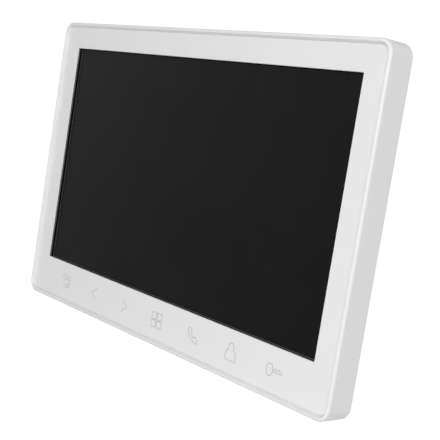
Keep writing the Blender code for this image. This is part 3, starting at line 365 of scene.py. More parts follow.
def board_finish():
    """Green solder mask: copper lands show through as paler veins, over a faint glass weave."""
    made = Finish("board_green", 0.34, Coat_Weight=0.3, Coat_Roughness=0.2)
    brick = made.node("ShaderNodeTexBrick", offset=0.35, squash=0.6, squash_frequency=3)
    turn = made.node("ShaderNodeMapping")
    turn.inputs["Rotation"].default_value = (math.radians(90), 0.0, 0.0)
    made.link(made.place, turn.inputs["Vector"]).link(turn.outputs["Vector"], brick.inputs["Vector"])
    brick.inputs["Scale"].default_value = 60.0
    brick.inputs["Brick Width"].default_value = 0.7
    brick.inputs["Row Height"].default_value = 0.055
    brick.inputs["Mortar Size"].default_value = 0.007
    brick.inputs["Mortar Smooth"].default_value = 0.15
    brick.inputs["Color1"].default_value = (0.010, 0.115, 0.045, 1.0)
    brick.inputs["Color2"].default_value = (0.014, 0.140, 0.058, 1.0)
    brick.inputs["Mortar"].default_value = (0.045, 0.265, 0.105, 1.0)
    made.link(brick.outputs["Color"], made.shader.inputs["Base Color"])
    made.gloss(made.noise(2.0, 3.0), 0.05)
    made.bump(brick.outputs["Fac"], 0.035, 0.8)
    return made.bump(made.noise(0.5, 2.0), 0.006, 0.4).material


def film_finish():
    """Amber polyimide film: copper lines run along the ribbon under it."""
    made = Finish("ribbon_amber", 0.28, Coat_Weight=0.4, Coat_Roughness=0.15)
    wave = made.node("ShaderNodeTexWave", bands_direction="X", wave_profile="SIN")
    wave.inputs["Scale"].default_value = 300.0
    made.link(made.place, wave.inputs["Vector"])
    made.colour(wave.outputs["Fac"], (0.30, 0.115, 0.015), (0.62, 0.31, 0.06), 0.35, 0.65)
    made.gloss(made.noise(3.0, 3.0), 0.05)
    return made.bump(wave.outputs["Fac"], 0.02, 0.5).material


def paper_finish():
    """Pressed paper pulp of the loudspeaker cone."""
    made = Finish("cone_black", 0.85)
    fibres = made.noise(0.7, 6.0, contrast=0.7)
    made.colour(fibres, (0.030, 0.030, 0.031), (0.075, 0.074, 0.073))
    made.gloss(made.noise(2.0, 3.0), 0.06)
    return made.bump(fibres, 0.10, 0.7).material


def foil_finish():
    """Matt silver polyester label, blank."""
    made = Finish("label_silver", 0.38, metallic=0.55)
    made.colour(made.noise(6.0, 4.0), (0.62, 0.63, 0.64), (0.66, 0.67, 0.68))
    made.gloss(made.noise(0.8, 4.0), 0.05)
    return made.bump(made.noise(0.2, 3.0), 0.004, 0.5).material


FINISHES = {
    "case_white": moulded(
        "case_white", (0.80, 0.805, 0.805), (0.815, 0.82, 0.82), 0.40, 0.30, 0.005
    ).material,
    "panel_white": panel_finish(),
    "mark_grey": mark_finish(),
    "picture_black": picture_finish(),
    "border_black": border_finish(),
    "picture_edge_grey": picture_edge_line_finish(),
    "opening_painted_shade": opening_shade_finish(),
    "display_glass": glass_finish(),
    "foam_black": foam_finish(),
    "diffuser": guide_finish(),
    "board_green": board_finish(),
    "ribbon_amber": film_finish(),
    "cone_black": paper_finish(),
    "label_silver": foil_finish(),
    "bracket_steel": plated("bracket_steel", (0.56, 0.57, 0.59), (0.66, 0.67, 0.69), 0.36, 3.5).material,
    "tray_steel": plated(
        "tray_steel", (0.56, 0.57, 0.58), (0.66, 0.67, 0.68), 0.30, 1.2, (1.0, 1.0, 40.0)
    ).material,
    "screw_steel": plated("screw_steel", (0.50, 0.51, 0.54), (0.63, 0.64, 0.66), 0.30, 0.4).material,
    "tin_bright": plated("tin_bright", (0.68, 0.68, 0.67), (0.80, 0.80, 0.79), 0.26, 0.5).material,
    "chip_black": moulded(
        "chip_black", (0.018, 0.018, 0.019), (0.034, 0.034, 0.035), 0.52, 0.25, 0.012
    ).material,
    "socket_green": moulded(
        "socket_green", (0.030, 0.27, 0.085), (0.042, 0.33, 0.11), 0.42, 0.5, 0.006
    ).material,
    "switch_black": moulded(
        "switch_black", (0.014, 0.014, 0.015), (0.026, 0.026, 0.027), 0.40, 0.3, 0.006
    ).material,
    "sleeve_dark": moulded(
        "sleeve_dark", (0.016, 0.018, 0.030), (0.024, 0.027, 0.042), 0.30, 0.4, 0.004
    ).material,
}


# ---------------------------------------------------------------- making shapes


def room(node):
    """Lowest and highest corner of a CAD node, in millimetres."""
    return [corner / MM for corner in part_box(node)]


def middle(node):
    """Centre of a CAD node's room, in millimetres."""
    low, high = room(node)
    return (low + high) / 2


def rounded_plate(width, height, radius, place, steps=CORNER_STEPS):
    """One face with rounded corners in a plane of even y, facing the viewer."""
    bm = bmesh.new()
    bmesh.ops.create_grid(bm, x_segments=1, y_segments=1, size=0.5)
    bmesh.ops.scale(bm, verts=bm.verts, vec=(width, height, 1.0))
    bmesh.ops.bevel(
        bm,
        geom=bm.verts[:],
        offset=radius,
        offset_type="OFFSET",
        segments=steps,
        profile=0.5,
        affect="VERTICES",
        material=-1,
    )
    turn = Matrix.Rotation(math.radians(90), 4, "X")
    bmesh.ops.transform(bm, matrix=Matrix.Translation(place) @ turn, verts=bm.verts)
    bm.normal_update()
    bm.faces.ensure_lookup_table()
    return bm, bm.faces[0]


def pull(bm, face, distance):
    """Pull a face out along its normal, and return the face at the new end."""
    way = face.normal.copy()
    alone = all(edge.is_boundary for edge in face.edges)
    made = bmesh.ops.extrude_face_region(bm, geom=[face])["geom"]
    verts = [part for part in made if isinstance(part, bmesh.types.BMVert)]
    bmesh.ops.translate(bm, verts=verts, vec=way * distance)
    if not alone:
        bmesh.ops.delete(bm, geom=[face], context="FACES_ONLY")
    return next(part for part in made if isinstance(part, bmesh.types.BMFace))


def step_in(bm, face, inwards, rise=0.0):
    """Inset a face, and lift or sink it by rise."""
    bmesh.ops.inset_region(
        bm, faces=[face], thickness=inwards, depth=rise, use_even_offset=True, use_boundary=True
    )


def soften(bm, edges, radius, segments=2):
    """Round some edges over."""
    bmesh.ops.bevel(
        bm,
        geom=list(edges),
        offset=radius,
        offset_type="OFFSET",
        segments=segments,
        profile=0.5,
        affect="EDGES",
        clamp_overlap=True,
        material=-1,
    )


def sharp_edges(bm):
    """Edges where two faces meet at a clear corner."""
    return [edge for edge in bm.edges if len(edge.link_faces) == 2 and edge.calc_face_angle() > SHARP_EDGE]


def spun(profile, place, direction, steps=TURN_STEPS):
    """A solid turned from a profile of (radius, height) that starts and ends on the axis."""
    bm = bmesh.new()
    verts = [bm.verts.new((radius, 0.0, height)) for radius, height in profile]
    edges = [bm.edges.new(pair) for pair in zip(verts, verts[1:])]
    bmesh.ops.spin(
        bm,
        geom=verts + edges,
        cent=(0, 0, 0),
        axis=(0, 0, 1),
        angle=2 * math.pi,
        steps=steps,
        use_merge=True,
    )
    bmesh.ops.remove_doubles(bm, verts=bm.verts, dist=SAME_POINT)
    turn = Vector(direction).to_track_quat("Z", "Y").to_matrix().to_4x4()
    bmesh.ops.transform(bm, matrix=Matrix.Translation(place) @ turn, verts=bm.verts)
    bmesh.ops.recalc_face_normals(bm, faces=bm.faces)
    return bm


def bar(low, high, edge=0.0, segments=2):
    """A block between two corners, with its edges rounded."""
    low, high = Vector(low), Vector(high)
    bm = bmesh.new()
    size = Matrix.Diagonal((*(high - low), 1.0))
    bmesh.ops.create_cube(bm, size=1.0, matrix=Matrix.Translation((low + high) / 2) @ size)
    if edge:
        soften(bm, bm.edges, edge, segments)
    return bm


def together(shapes):
    """Several separate shapes as one."""
    bm = bmesh.new()
    for shape in shapes:
        mesh = bpy.data.meshes.new("part")
        shape.to_mesh(mesh)
        shape.free()
        bm.from_mesh(mesh)
        bpy.data.meshes.remove(mesh)
    return bm


def as_object(name, bm):
    """Put a shape into the scene, and let go of its bmesh."""
    mesh = bpy.data.meshes.new(name)
    bm.to_mesh(mesh)
    bm.free()
    obj = bpy.data.objects.new(name, mesh)
    bpy.context.scene.collection.objects.link(obj)
    return obj


def settle(obj):
    """Apply an object's modifiers for good."""
    graph = bpy.context.evaluated_depsgraph_get()
    mesh = bpy.data.meshes.new_from_object(obj.evaluated_get(graph), depsgraph=graph)
    obj.modifiers.clear()
    obj.data = mesh


def carved(bm, cutter, operation="DIFFERENCE"):
    """Cut a shape out of another, or join it on."""
    obj, tool = as_object("carved", bm), as_object("tool", cutter)
    modifier = obj.modifiers.new("carve", "BOOLEAN")
    modifier.operation = operation
    modifier.solver = "EXACT"
    modifier.object = tool
    settle(obj)
    made = bmesh.new()
    made.from_mesh(obj.data)
    bmesh.ops.remove_doubles(made, verts=made.verts, dist=SAME_POINT)
    bpy.data.objects.remove(tool)
    bpy.data.objects.remove(obj)
    return made


def cad_copy(node):
    """A node's own shape as one closed mesh of large faces."""
    bm = bmesh.new()
    bm.from_mesh(NODES[node].data)
    bmesh.ops.scale(bm, verts=bm.verts, vec=(1 / MM, 1 / MM, 1 / MM))
    bmesh.ops.remove_doubles(bm, verts=bm.verts, dist=SAME_CAD_POINT)
    bmesh.ops.dissolve_limit(bm, angle_limit=FLAT_ANGLE, verts=bm.verts, edges=bm.edges)
    return bm


def eased(node, radius, segments=2):
    """A node's own shape with every sharp edge broken, as moulding, cutting or pressing leaves it."""
    bm = cad_copy(node)
    soften(bm, sharp_edges(bm), radius, segments)
    return bm


def finished(name, bm, finishes, body, stands_for=(), select=None):
    """A piece in metres with its finishes. select(face) gives the number of a face's finish."""
    if isinstance(finishes, str):
        finishes = [finishes]
    if select:
        for face in bm.faces:
            face.material_index = select(face)
    bmesh.ops.scale(bm, verts=bm.verts, vec=(MM, MM, MM))
    obj = as_object(name, bm)
    obj.data.shade_smooth()
    obj.data.set_sharp_from_angle(angle=SMOOTH_ANGLE)
    weighted = obj.modifiers.new("flat faces", "WEIGHTED_NORMAL")
    weighted.keep_sharp = True
    settle(obj)
    obj.data.name = name
    for finish in finishes:
        obj.data.materials.append(FINISHES[finish])
    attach(obj, body)
    if stands_for:
        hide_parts(*stands_for)


# ---------------------------------------------------------------- front case


def round_cutters(places, radius, low_y, high_y):
    """Cylinders between two depths, one at each (x, z)."""
    length = high_y - low_y
    profile = [(0.0, 0.0), (radius, 0.0), (radius, length), (0.0, length)]
    return together([spun(profile, (x, low_y, z), (0, 1, 0)) for x, z in places])


def case_shell(low, high):
    """An open box behind a raised rim, with a recessed floor for the panel."""
    centre = (low + high) / 2
    width, depth, height = high - low
    bm, back = rounded_plate(width, height, CORNER_RADIUS, (centre.x, high.y, centre.z))
    rear_loop = list(back.edges)
    front = pull(bm, back, depth)
    crest_loop = list(front.edges)
    step_in(bm, front, CREST)
    crest_inner = list(front.edges)
    step_in(bm, front, RIM_WIDTH - CREST, -RIM_DROP)
    pull(bm, front, -(FACE_FLOOR - RIM_DROP))
    bmesh.ops.recalc_face_normals(bm, faces=bm.faces)
    back = max(bm.faces, key=lambda face: face.calc_center_median().y)
    step_in(bm, back, SKIRT_WALL)
    pull(bm, back, -(depth - FACE_FLOOR - FLOOR_THICKNESS))
    soften(bm, rear_loop, REAR_FILLET, ARC_STEPS)
    soften(bm, crest_loop, RIM_FILLET, 2 * ARC_STEPS)
    soften(bm, crest_inner, CREST_FILLET, ARC_STEPS)
    return bm


def tray_opening(low, high):
    """The hole that the display tray passes through, with rounded corners."""
    tray_low, tray_high = room("display_tray")
    bm = bar(
        (tray_low.x - FIT_GAP, low.y, tray_low.z - FIT_GAP),
        (tray_high.x + FIT_GAP, high.y - SKIRT_WALL, tray_high.z + FIT_GAP),
    )
    along_y = [edge for edge in bm.edges if abs((edge.verts[0].co - edge.verts[1].co).y) > 1.0]
    soften(bm, along_y, TRAY_CORNER, ARC_STEPS)
    return bm


def screw_bosses(floor_back):
    """A post on the floor for each screw that drives into the case, and the screws' (x, z)."""
    bosses, spots = [], []
    for kind, part in BOSS_TOPS.items():
        height = room(part)[0].y - FIT_GAP - floor_back + BOSS_ROOT
        profile = [
            (0.0, 0.0),
            (BOSS_RADIUS, 0.0),
            (BOSS_RADIUS, height - BOSS_CHAMFER),
            (BOSS_RADIUS - BOSS_CHAMFER, height),
            (0.0, height),
        ]
        for node in sorted(NODES):
            if node.rsplit("_", 1)[0] == kind:
                spot = middle(node)
                bosses.append(spun(profile, (spot.x, floor_back - BOSS_ROOT, spot.z), (0, 1, 0)))
                spots.append((spot.x, spot.z))
    return together(bosses), spots


def microphone_mouth(bottom):
    """The small flared hole through the bottom wall."""
    outside, inside = -1.0, SKIRT_WALL + 0.6
    profile = [
        (0.0, outside),
        (MIC_HOLE + MIC_FLARE, outside),
        (MIC_HOLE, MIC_FLARE_DEPTH),
        (MIC_HOLE, inside),
        (0.0, inside),
    ]
    spot = middle("microphone_boot")
    return spun(profile, (spot.x, spot.y, bottom), (0, 0, 1))


def front_frame():
    """The outer shell: skirt, raised rim, and the floor that the face panel lies on."""
    low, high = room("front_frame")
    floor_back = low.y + FACE_FLOOR + FLOOR_THICKNESS
    bm = carved(case_shell(low, high), tray_opening(low, high))
    bosses, screws = screw_bosses(floor_back)
    bm = carved(bm, bosses, "UNION")
    bm = carved(bm, round_cutters(screws, PILOT_RADIUS, floor_back - PILOT_SINK, high.y))
    rings = [middle(node) for node in sorted(NODES) if node.startswith("key_pad_")]
    keys = [(ring.x, ring.z) for ring in rings]
    bm = carved(bm, round_cutters(keys, KEY_HOLE_RADIUS, low.y + KEY_HOLE_START, floor_back + 0.5))
    bm = carved(bm, microphone_mouth(low.z))
    finished("front_shell", bm, "case_white", BODY_OF["front_frame"], ["front_frame"])


def face_panel():
    """The inset plate round the screen, whose outer edge lies under the rim."""
    low, high = room("face_panel")
    centre = (low + high) / 2
    thickness = high.y - low.y
    case_low, case_high = room("front_frame")
    inset = RIM_WIDTH - PANEL_LAP
    width, _, height = case_high - case_low - Vector((2 * inset, 0.0, 2 * inset))
    bm, back = rounded_plate(width, height, CORNER_RADIUS - inset, (centre.x, high.y, centre.z))
    pull(bm, back, thickness)
    bmesh.ops.recalc_face_normals(bm, faces=bm.faces)

    screen_low, screen_high = room("front_polariser")
    screen = (screen_low + screen_high) / 2
    size = screen_high - screen_low - 2 * POLARISER_LAP
    ahead = 0.5  # the cutter starts before the panel and ends as far behind it
    over = ahead + OPENING_EDGE
    start = (screen.x, low.y - ahead, screen.z)
    mouth, end = rounded_plate(size.x + 2 * over, size.z + 2 * over, OPENING_RADIUS + over, start, 6)
    bmesh.ops.reverse_faces(mouth, faces=[end])
    mouth.normal_update()
    step_in(mouth, end, over, over)
    pull(mouth, end, thickness + 2 * ahead)
    rim = [edge for edge in mouth.edges if edge.is_boundary]
    bmesh.ops.holes_fill(mouth, edges=rim, sides=0)
    bmesh.ops.recalc_face_normals(mouth, faces=mouth.faces)
    bm = carved(bm, mouth)

    def which(face):
        """The wall of the opening takes the second finish, its painted shade."""
        spot = face.calc_center_median() - screen
        inside = abs(spot.x) < size.x / 2 + over and abs(spot.z) < size.z / 2 + over
        return 1 if inside and abs(face.normal.y) < 0.1 else 0

    finished(
        "face_plate",
        bm,
        ["panel_white", "opening_painted_shade"],
        BODY_OF["face_panel"],
        ["face_panel"],
        which,
    )


def screen():
    """The film over the display: black masking, a lighter grey line at the picture area's left and bottom
    edges, and the picture area.
    """
    low, high = room("front_polariser")
    centre = (low + high) / 2
    width, thickness, height = high - low
    bm, back = rounded_plate(width, height, OPENING_RADIUS, (centre.x, high.y, centre.z), 4)
    front = pull(bm, back, thickness)
    soften(bm, list(front.edges), POLARISER_EDGE, 1)
    bmesh.ops.recalc_face_normals(bm, faces=bm.faces)
    inner = (high - low) / 2 - ACTIVE_MARGIN
    outer = inner + Vector((PICTURE_EDGE_LINE, 0.0, PICTURE_EDGE_LINE))
    for half in (outer, inner):
        for axis, reach in ((0, half.x), (2, half.z)):
            for side in (-1, 1):
                spot, normal = centre.copy(), Vector((0, 0, 0))
                spot[axis] += side * reach
                normal[axis] = side
                whole = bm.verts[:] + bm.edges[:] + bm.faces[:]
                bmesh.ops.bisect_plane(bm, geom=whole, dist=1e-4, plane_co=spot, plane_no=normal)

    def which(face):
        """Picture area, then the lighter grey line at its left and bottom, and masking everywhere else."""
        spot = face.calc_center_median() - centre
        if spot.y > -thickness / 2 + 0.02:
            return 0
        if abs(spot.x) < inner.x and abs(spot.z) < inner.z:
            return 1
        return 2 if -outer.x < spot.x < inner.x and -outer.z < spot.z < inner.z else 0

    finished(
        "screen_film",
        bm,
        ["border_black", "picture_black", "picture_edge_grey"],
        BODY_OF["front_polariser"],
        ["front_polariser"],
        which,
    )


# ---------------------------------------------------------------- printed key marks

# Corners of the menu mark's small squares
TURN_IN = [(1.4, 1.8), (1.75, 1.67), (1.95, 1.45), (2.0, 1.2)]
SQUARE = [(1, 1, TURN_IN), (1, -1, TURN_IN[::-1]), (-1, -1, TURN_IN), (-1, 1, TURN_IN[::-1])]

# The right half of the person mark, from the head down
FIGURE = [
    (0.0, 4.5), (0.7, 4.35), (1.4, 3.8), (1.85, 3.0), (1.95, 2.3), (1.65, 1.1), (2.3, 0.85), (3.0, 0.4),
    (3.5, -0.5), (3.7, -2.0), (3.5, -4.1),
]
FIGURE_MIDDLE = -0.2

# Each mark is a list of strokes about its key's centre.
# A stroke is closed or open, smooth or straight, and then its (x, z) points.
MARKS = {
    "back": [
        (
            True,
            False,
            [(-4.6, 2.4), (-1.5, 4.6), (-1.5, 3.1), (1.9, 3.1), (3.2, 2.5), (3.9, 1.2), (3.9, -1.4),
             (3.2, -2.7), (1.9, -3.3), (-2.2, -3.3), (-2.2, -1.9), (1.5, -1.9), (2.3, -1.5), (2.5, -0.8),
             (2.5, 0.6), (2.3, 1.4), (1.5, 1.7), (-1.5, 1.7), (-1.5, 0.2)],
        )
    ],
    "left": [(False, False, [(2.6, 3.7), (-2.2, 0.1), (1.7, -3.2)])],
    "right": [(False, False, [(-1.6, 3.1), (2.8, 0.5), (-2.0, -3.1)])],
    "menu": [
        (
            True,
            False,
            [(x + side * across, z + end * up) for side, end, corner in SQUARE for across, up in corner],
        )
        for x in (-2.25, 2.25)
        for z in (-2.1, 2.1)
    ],
    "handset": [
        (
            True,
            True,
            [(-2.6, 3.7), (-3.3, 2.8), (-3.1, 1.5), (-2.1, 0.0), (-0.8, -1.3), (1.4, -2.7), (3.5, -3.5),
             (4.3, -2.7), (4.1, -1.8), (2.9, -0.6), (1.8, -0.4), (1.3, -0.9), (0.6, -0.3), (-0.5, 0.9),
             (-0.5, 1.9), (-1.4, 3.1)],
        )
    ],
    "person": [
        (
            True,
            False,
            [(FIGURE_MIDDLE + x, z) for x, z in FIGURE] + [(FIGURE_MIDDLE - x, z) for x, z in FIGURE[:0:-1]],
        )
    ],
    "key": [
        (
            True,
            True,
            [(-2.9, 2.8), (-4.2, 2.0), (-4.9, 0.4), (-4.8, -1.2), (-3.9, -2.6), (-2.6, -2.9), (-1.5, -2.2),
             (-0.9, -0.8), (-0.9, 0.7), (-1.5, 2.1)],
        ),
        (
            False,
            False,
            [(-0.85, 0.4), (0.9, 0.4), (0.9, 1.3), (1.8, 1.3), (1.8, 0.4), (2.9, 0.4), (2.9, 1.3),
             (3.8, 1.3), (3.8, 0.4), (5.2, 0.4), (5.4, 0.1), (5.4, -0.3), (5.2, -0.55), (-0.85, -0.55)],
        ),
    ],
}


def mark_strokes(node, strokes):
    """One key's mark as a flattened line of ink that lies on the panel."""
    curve = bpy.data.curves.new("mark", "CURVE")
    curve.dimensions = "3D"
    curve.bevel_depth = MARK_LINE
    curve.bevel_resolution = 1
    curve.resolution_u = 6
    curve.use_fill_caps = True
    for closed, smooth, points in strokes:
        spline = curve.splines.new("BEZIER")
        spline.bezier_points.add(len(points) - 1)
        for knot, (x, z) in zip(spline.bezier_points, points):
            knot.co = (x, 0.0, z)
            knot.handle_left_type = knot.handle_right_type = "AUTO" if smooth else "VECTOR"
        spline.use_cyclic_u = closed
    obj = bpy.data.objects.new("mark", curve)
    bpy.context.scene.collection.objects.link(obj)
    bpy.context.view_layer.update()
    graph = bpy.context.evaluated_depsgraph_get()
    mesh = bpy.data.meshes.new_from_object(obj.evaluated_get(graph), depsgraph=graph)
    bm = bmesh.new()
    bm.from_mesh(mesh)
    bpy.data.objects.remove(obj)
    spot = middle(node)
    bmesh.ops.remove_doubles(bm, verts=bm.verts, dist=SAME_POINT)
    bmesh.ops.scale(bm, verts=bm.verts, vec=(1.0, 2 * MARK_RISE / MARK_LINE, 1.0))
    face_y = room("face_panel")[0].y
    bmesh.ops.translate(bm, verts=bm.verts, vec=(spot.x, face_y, spot.z))
    return bm


def key_marks():
    """All seven marks as one printed layer."""
    shapes = [mark_strokes(f"key_pad_{name}", strokes) for name, strokes in MARKS.items()]
    finished("key_marks", together(shapes), "mark_grey", BODY_OF["face_panel"])


# ---------------------------------------------------------------- screws


def screw(node):
    """A pan-head screw driven towards -Y, with a cross recess and a thread."""
    low, high = room(node)
    centre = (low + high) / 2
    radius = (high.x - low.x) / 2
    length = high.y - low.y
    under_head = length - SCREW_HEAD
    profile = [(0.0, 0.0), (0.5, 0.02), (SCREW_CORE, SCREW_POINT)]
    turn = SCREW_POINT
    while turn + SCREW_PITCH < under_head:
        profile += [(SCREW_CORE, turn + 0.1), (SCREW_THREAD, turn + 0.35), (SCREW_CORE, turn + 0.6)]
        turn += SCREW_PITCH
    profile += [
        (SCREW_CORE, under_head - 0.05),
        (radius - 0.15, under_head),
        (radius, under_head + 0.12),
        (radius, length - 0.5),
        (radius - 0.12, length - 0.28),
        (radius - 0.45, length - 0.08),
        (radius - 0.9, length),
        (0.0, length),
    ]
    bm = spun(profile, (centre.x, low.y, centre.z), (0, 1, 0), SCREW_STEPS)
    turned = Matrix.Translation((centre.x, high.y, centre.z)) @ Matrix.Rotation(CROSS_TURN, 4, "Y")
    for wide, tall in ((CROSS_LONG, CROSS_SHORT), (CROSS_SHORT, CROSS_LONG)):
        arm = bar((-wide, -CROSS_DEPTH, -tall), (wide, 0.5, tall))
        floor = [vert for vert in arm.verts if vert.co.y < 0]
        bmesh.ops.scale(arm, verts=floor, vec=(CROSS_TAPER, 1.0, CROSS_TAPER))
        bmesh.ops.transform(arm, matrix=turned, verts=arm.verts)
        bm = carved(bm, arm)
    finished(f"{node}_driven", bm, "screw_steel", BODY_OF[node], [node])


# ---------------------------------------------------------------- controls in the left wall


GRIP_GROOVES = (-1.0, -0.5, 0.0, 0.5, 1.0)  # heights about the knob's middle
GROOVE_HALF_WIDTH = 0.1
GROOVE_DEPTH = 0.16


def power_knob():
    """The slide switch's knob: a cap with grip grooves, on a stem."""
    node = "power_switch_knob"
    low, high = room(node)
    bm = eased(node, 0.25, 3)
    grooves = []
    middle_z = (low.z + high.z) / 2
    for place in GRIP_GROOVES:
        z = middle_z + place
        grooves.append(
            bar(
                (low.x - 0.5, low.y - 0.5, z - GROOVE_HALF_WIDTH),
                (low.x + GROOVE_DEPTH, high.y + 0.5, z + GROOVE_HALF_WIDTH),
            )
        )
    bm = carved(bm, together(grooves))
    soften(bm, [edge for edge in sharp_edges(bm) if edge.calc_length() > 2.0], 0.04, 1)
    finished("power_knob_cap", bm, "switch_black", BODY_OF[node], [node])


# ---------------------------------------------------------------- main board details


# Chips: (x, z), (width, height, thickness) and the number of legs at each side
CHIPS = [
    ((-20.0, -28.0), (8.0, 4.0, 1.2), 8),
    ((12.0, -30.0), (5.0, 4.0, 1.2), 4),
    ((-48.0, -20.0), (10.0, 6.2, 1.3), 10),
    ((-80.0, -16.0), (8.0, 4.0, 1.2), 8),
]
LEG_HALF_WIDTH = 0.15
LEG_REACH = (-0.2, 0.9)  # from inside the package's edge to its foot
# Rows of small parts: first (x, z), step, number, (width, height), and thicknesses taken in turn
PASSIVE_ROWS = [
    ((-32.0, -24.0), 5.0, 14, (1.8, 1.0), (0.55, 0.65, 0.75)),
    ((-30.7, -33.0), 5.0, 14, (1.8, 1.0), (0.55, 0.65, 0.75)),
    ((-92.0, -34.0), 3.4, 8, (1.6, 0.9), (0.5,)),
    ((-12.0, 38.0), 3.0, 8, (1.6, 0.9), (0.5,)),
]
PASSIVE_END = 0.22  # share of the length that each soldered end takes

# Wire sockets and their pins
SOCKET_PINS = (("door_socket_1", 4), ("door_socket_2", 4), ("alarm_socket", 6), ("power_inlet", 2))
CARD_CONTACTS = 8
CARD_PITCH = 1.2


def board_dressing():
    """Small parts soldered to the back of the main board, in the space its larger parts leave."""
    back = room("main_board")[1].y
    packages, solder, bodies = [], [], []

    def chip(place, size, legs):
        x, z = place
        wide, tall, thick = size
        packages.append(
            bar((x - wide / 2, back + 0.1, z - tall / 2), (x + wide / 2, back + thick, z + tall / 2), 0.12)
        )
        pitch = wide / (legs + 1)
        for leg in range(1, legs + 1):
            at = x - wide / 2 + leg * pitch
            for side in (-1, 1):
                ends = sorted(z + side * (tall / 2 + reach) for reach in LEG_REACH)
                low = (at - LEG_HALF_WIDTH, back + 0.02, ends[0])
                solder.append(bar(low, (at + LEG_HALF_WIDTH, back + 0.22, ends[1]), 0.04, 1))

    def passive(x, z, size, thick):
        wide, tall = size
        end = wide * PASSIVE_END
        low = (x - wide / 2 + end, back + 0.02, z - tall / 2)
        bodies.append(bar(low, (x + wide / 2 - end, back + thick, z + tall / 2), 0.05, 1))
        for side in (-1, 1):
            ends = sorted((x + side * wide / 2, x + side * (wide / 2 - end)))
            low = (ends[0], back + 0.01, z - tall / 2)
            solder.append(bar(low, (ends[1], back + thick + 0.02, z + tall / 2), 0.05, 1))

    for made in CHIPS:
        chip(*made)
    for (x, z), step, count, size, thicknesses in PASSIVE_ROWS:
        for place in range(count):
            passive(x + step * place, z, size, thicknesses[place % len(thicknesses)])
    body = BODY_OF["main_board"]
    finished("board_chips", together(packages), "chip_black", body)
    finished("board_solder", together(solder), "tin_bright", body)
    finished("board_passives", together(bodies), "sleeve_dark", body)


def contacts():
    """Pins inside the wire sockets, and the contact springs of the memory card socket."""
    pins = []
    for node, count in SOCKET_PINS:
        low, high = room(node)
        y = (low.y + high.y) / 2
        pitch = (high.x - low.x) / count
        for place in range(count):
            x = low.x + pitch * (place + 0.5)
            pins.append(bar((x - 0.45, y - 0.2, low.z + 1.4), (x + 0.45, y + 0.2, low.z + 6.0), 0.12, 1))
    low, high = room("memory_card_socket")
    lowest = (low.z + high.z) / 2 - 4.2
    for place in range(CARD_CONTACTS):
        z = lowest + CARD_PITCH * place
        spring = bar((low.x + 8.0, high.y - 0.75, z - 0.25), (low.x + 13.2, high.y - 0.45, z + 0.25), 0.05, 1)
        pins.append(spring)
    finished("socket_contacts", together(pins), "tin_bright", BODY_OF["main_board"])


# ---------------------------------------------------------------- pieces that keep their CAD shape, eased

EASED = {
    # node: (name of the piece, finish, edge radius)
    "rear_cover": ("back_cover", "case_white", 0.25),
    "wall_bracket": ("bracket_plate", "bracket_steel", 0.25),
    "rating_label": ("blank_label", "label_silver", 0.08),
    "carrier_plate": ("carrier_sheet", "tray_steel", 0.15),
    "display_tray": ("tray_pressing", "tray_steel", 0.15),
    "display_glass": ("display_cell", "display_glass", 0.15),
    "light_guide": ("light_guide_plate", "diffuser", 0.2),
    "display_gasket": ("display_seal", "foam_black", 0.12),
    "main_board": ("board_laminate", "board_green", 0.1),
    "touch_key_board": ("key_board_laminate", "board_green", 0.1),
    "shield_can": ("shield_pressing", "tray_steel", 0.15),
    "processor": ("processor_package", "chip_black", 0.15),
    "memory_chip": ("memory_package", "chip_black", 0.15),
    "audio_transformer": ("transformer_bobbin", "switch_black", 0.3),
    "power_inductor": ("inductor_block", "chip_black", 0.5),
    "capacitor_1": ("capacitor_can_1", "tin_bright", 0.2),
    "capacitor_2": ("capacitor_can_2", "tin_bright", 0.2),
    "clock_battery": ("clock_cell", "tin_bright", 0.2),
    "door_socket_1": ("door_terminal_1", "socket_green", 0.2),
    "door_socket_2": ("door_terminal_2", "socket_green", 0.2),
    "alarm_socket": ("alarm_terminal", "socket_green", 0.2),
    "power_inlet": ("power_terminal", "switch_black", 0.2),
    "memory_card_socket": ("card_shell", "tray_steel", 0.1),
    "power_switch_body": ("switch_housing", "switch_black", 0.15),
    "reset_switch_body": ("reset_housing", "switch_black", 0.15),
    "reset_button": ("reset_plunger_pin", "switch_black", 0.2),
    "speaker_basket": ("basket_pressing", "tray_steel", 0.15),
    "speaker_gasket": ("speaker_seal", "foam_black", 0.12),
    "speaker_cone": ("cone_paper", "cone_black", 0.1),
    "speaker_lead": ("speaker_wire", "switch_black", 0.05),
    "microphone": ("microphone_capsule", "tin_bright", 0.2),
    "microphone_boot": ("microphone_grommet", "foam_black", 0.2),
    "display_ribbon": ("display_film", "ribbon_amber", 0.05),
    "touch_ribbon": ("touch_film", "ribbon_amber", 0.05),
}
KEY_RING_EDGE = 0.2
SLOTS = dict.fromkeys(("capacitor_1", "capacitor_2", "clock_battery", "microphone"), "screw_steel")


def eased_pieces():
    """Every other part, at its own shape with its edges broken."""
    for node, (name, finish, radius) in EASED.items():
        finished(name, eased(node, radius), finish, BODY_OF[node], [node])
    for node in sorted(NODES):
        if node.startswith("key_pad_"):
            name = node.replace("key_pad", "key_foam")
            finished(name, eased(node, KEY_RING_EDGE), "foam_black", BODY_OF[node], [node])


# ---------------------------------------------------------------- floor, light and camera


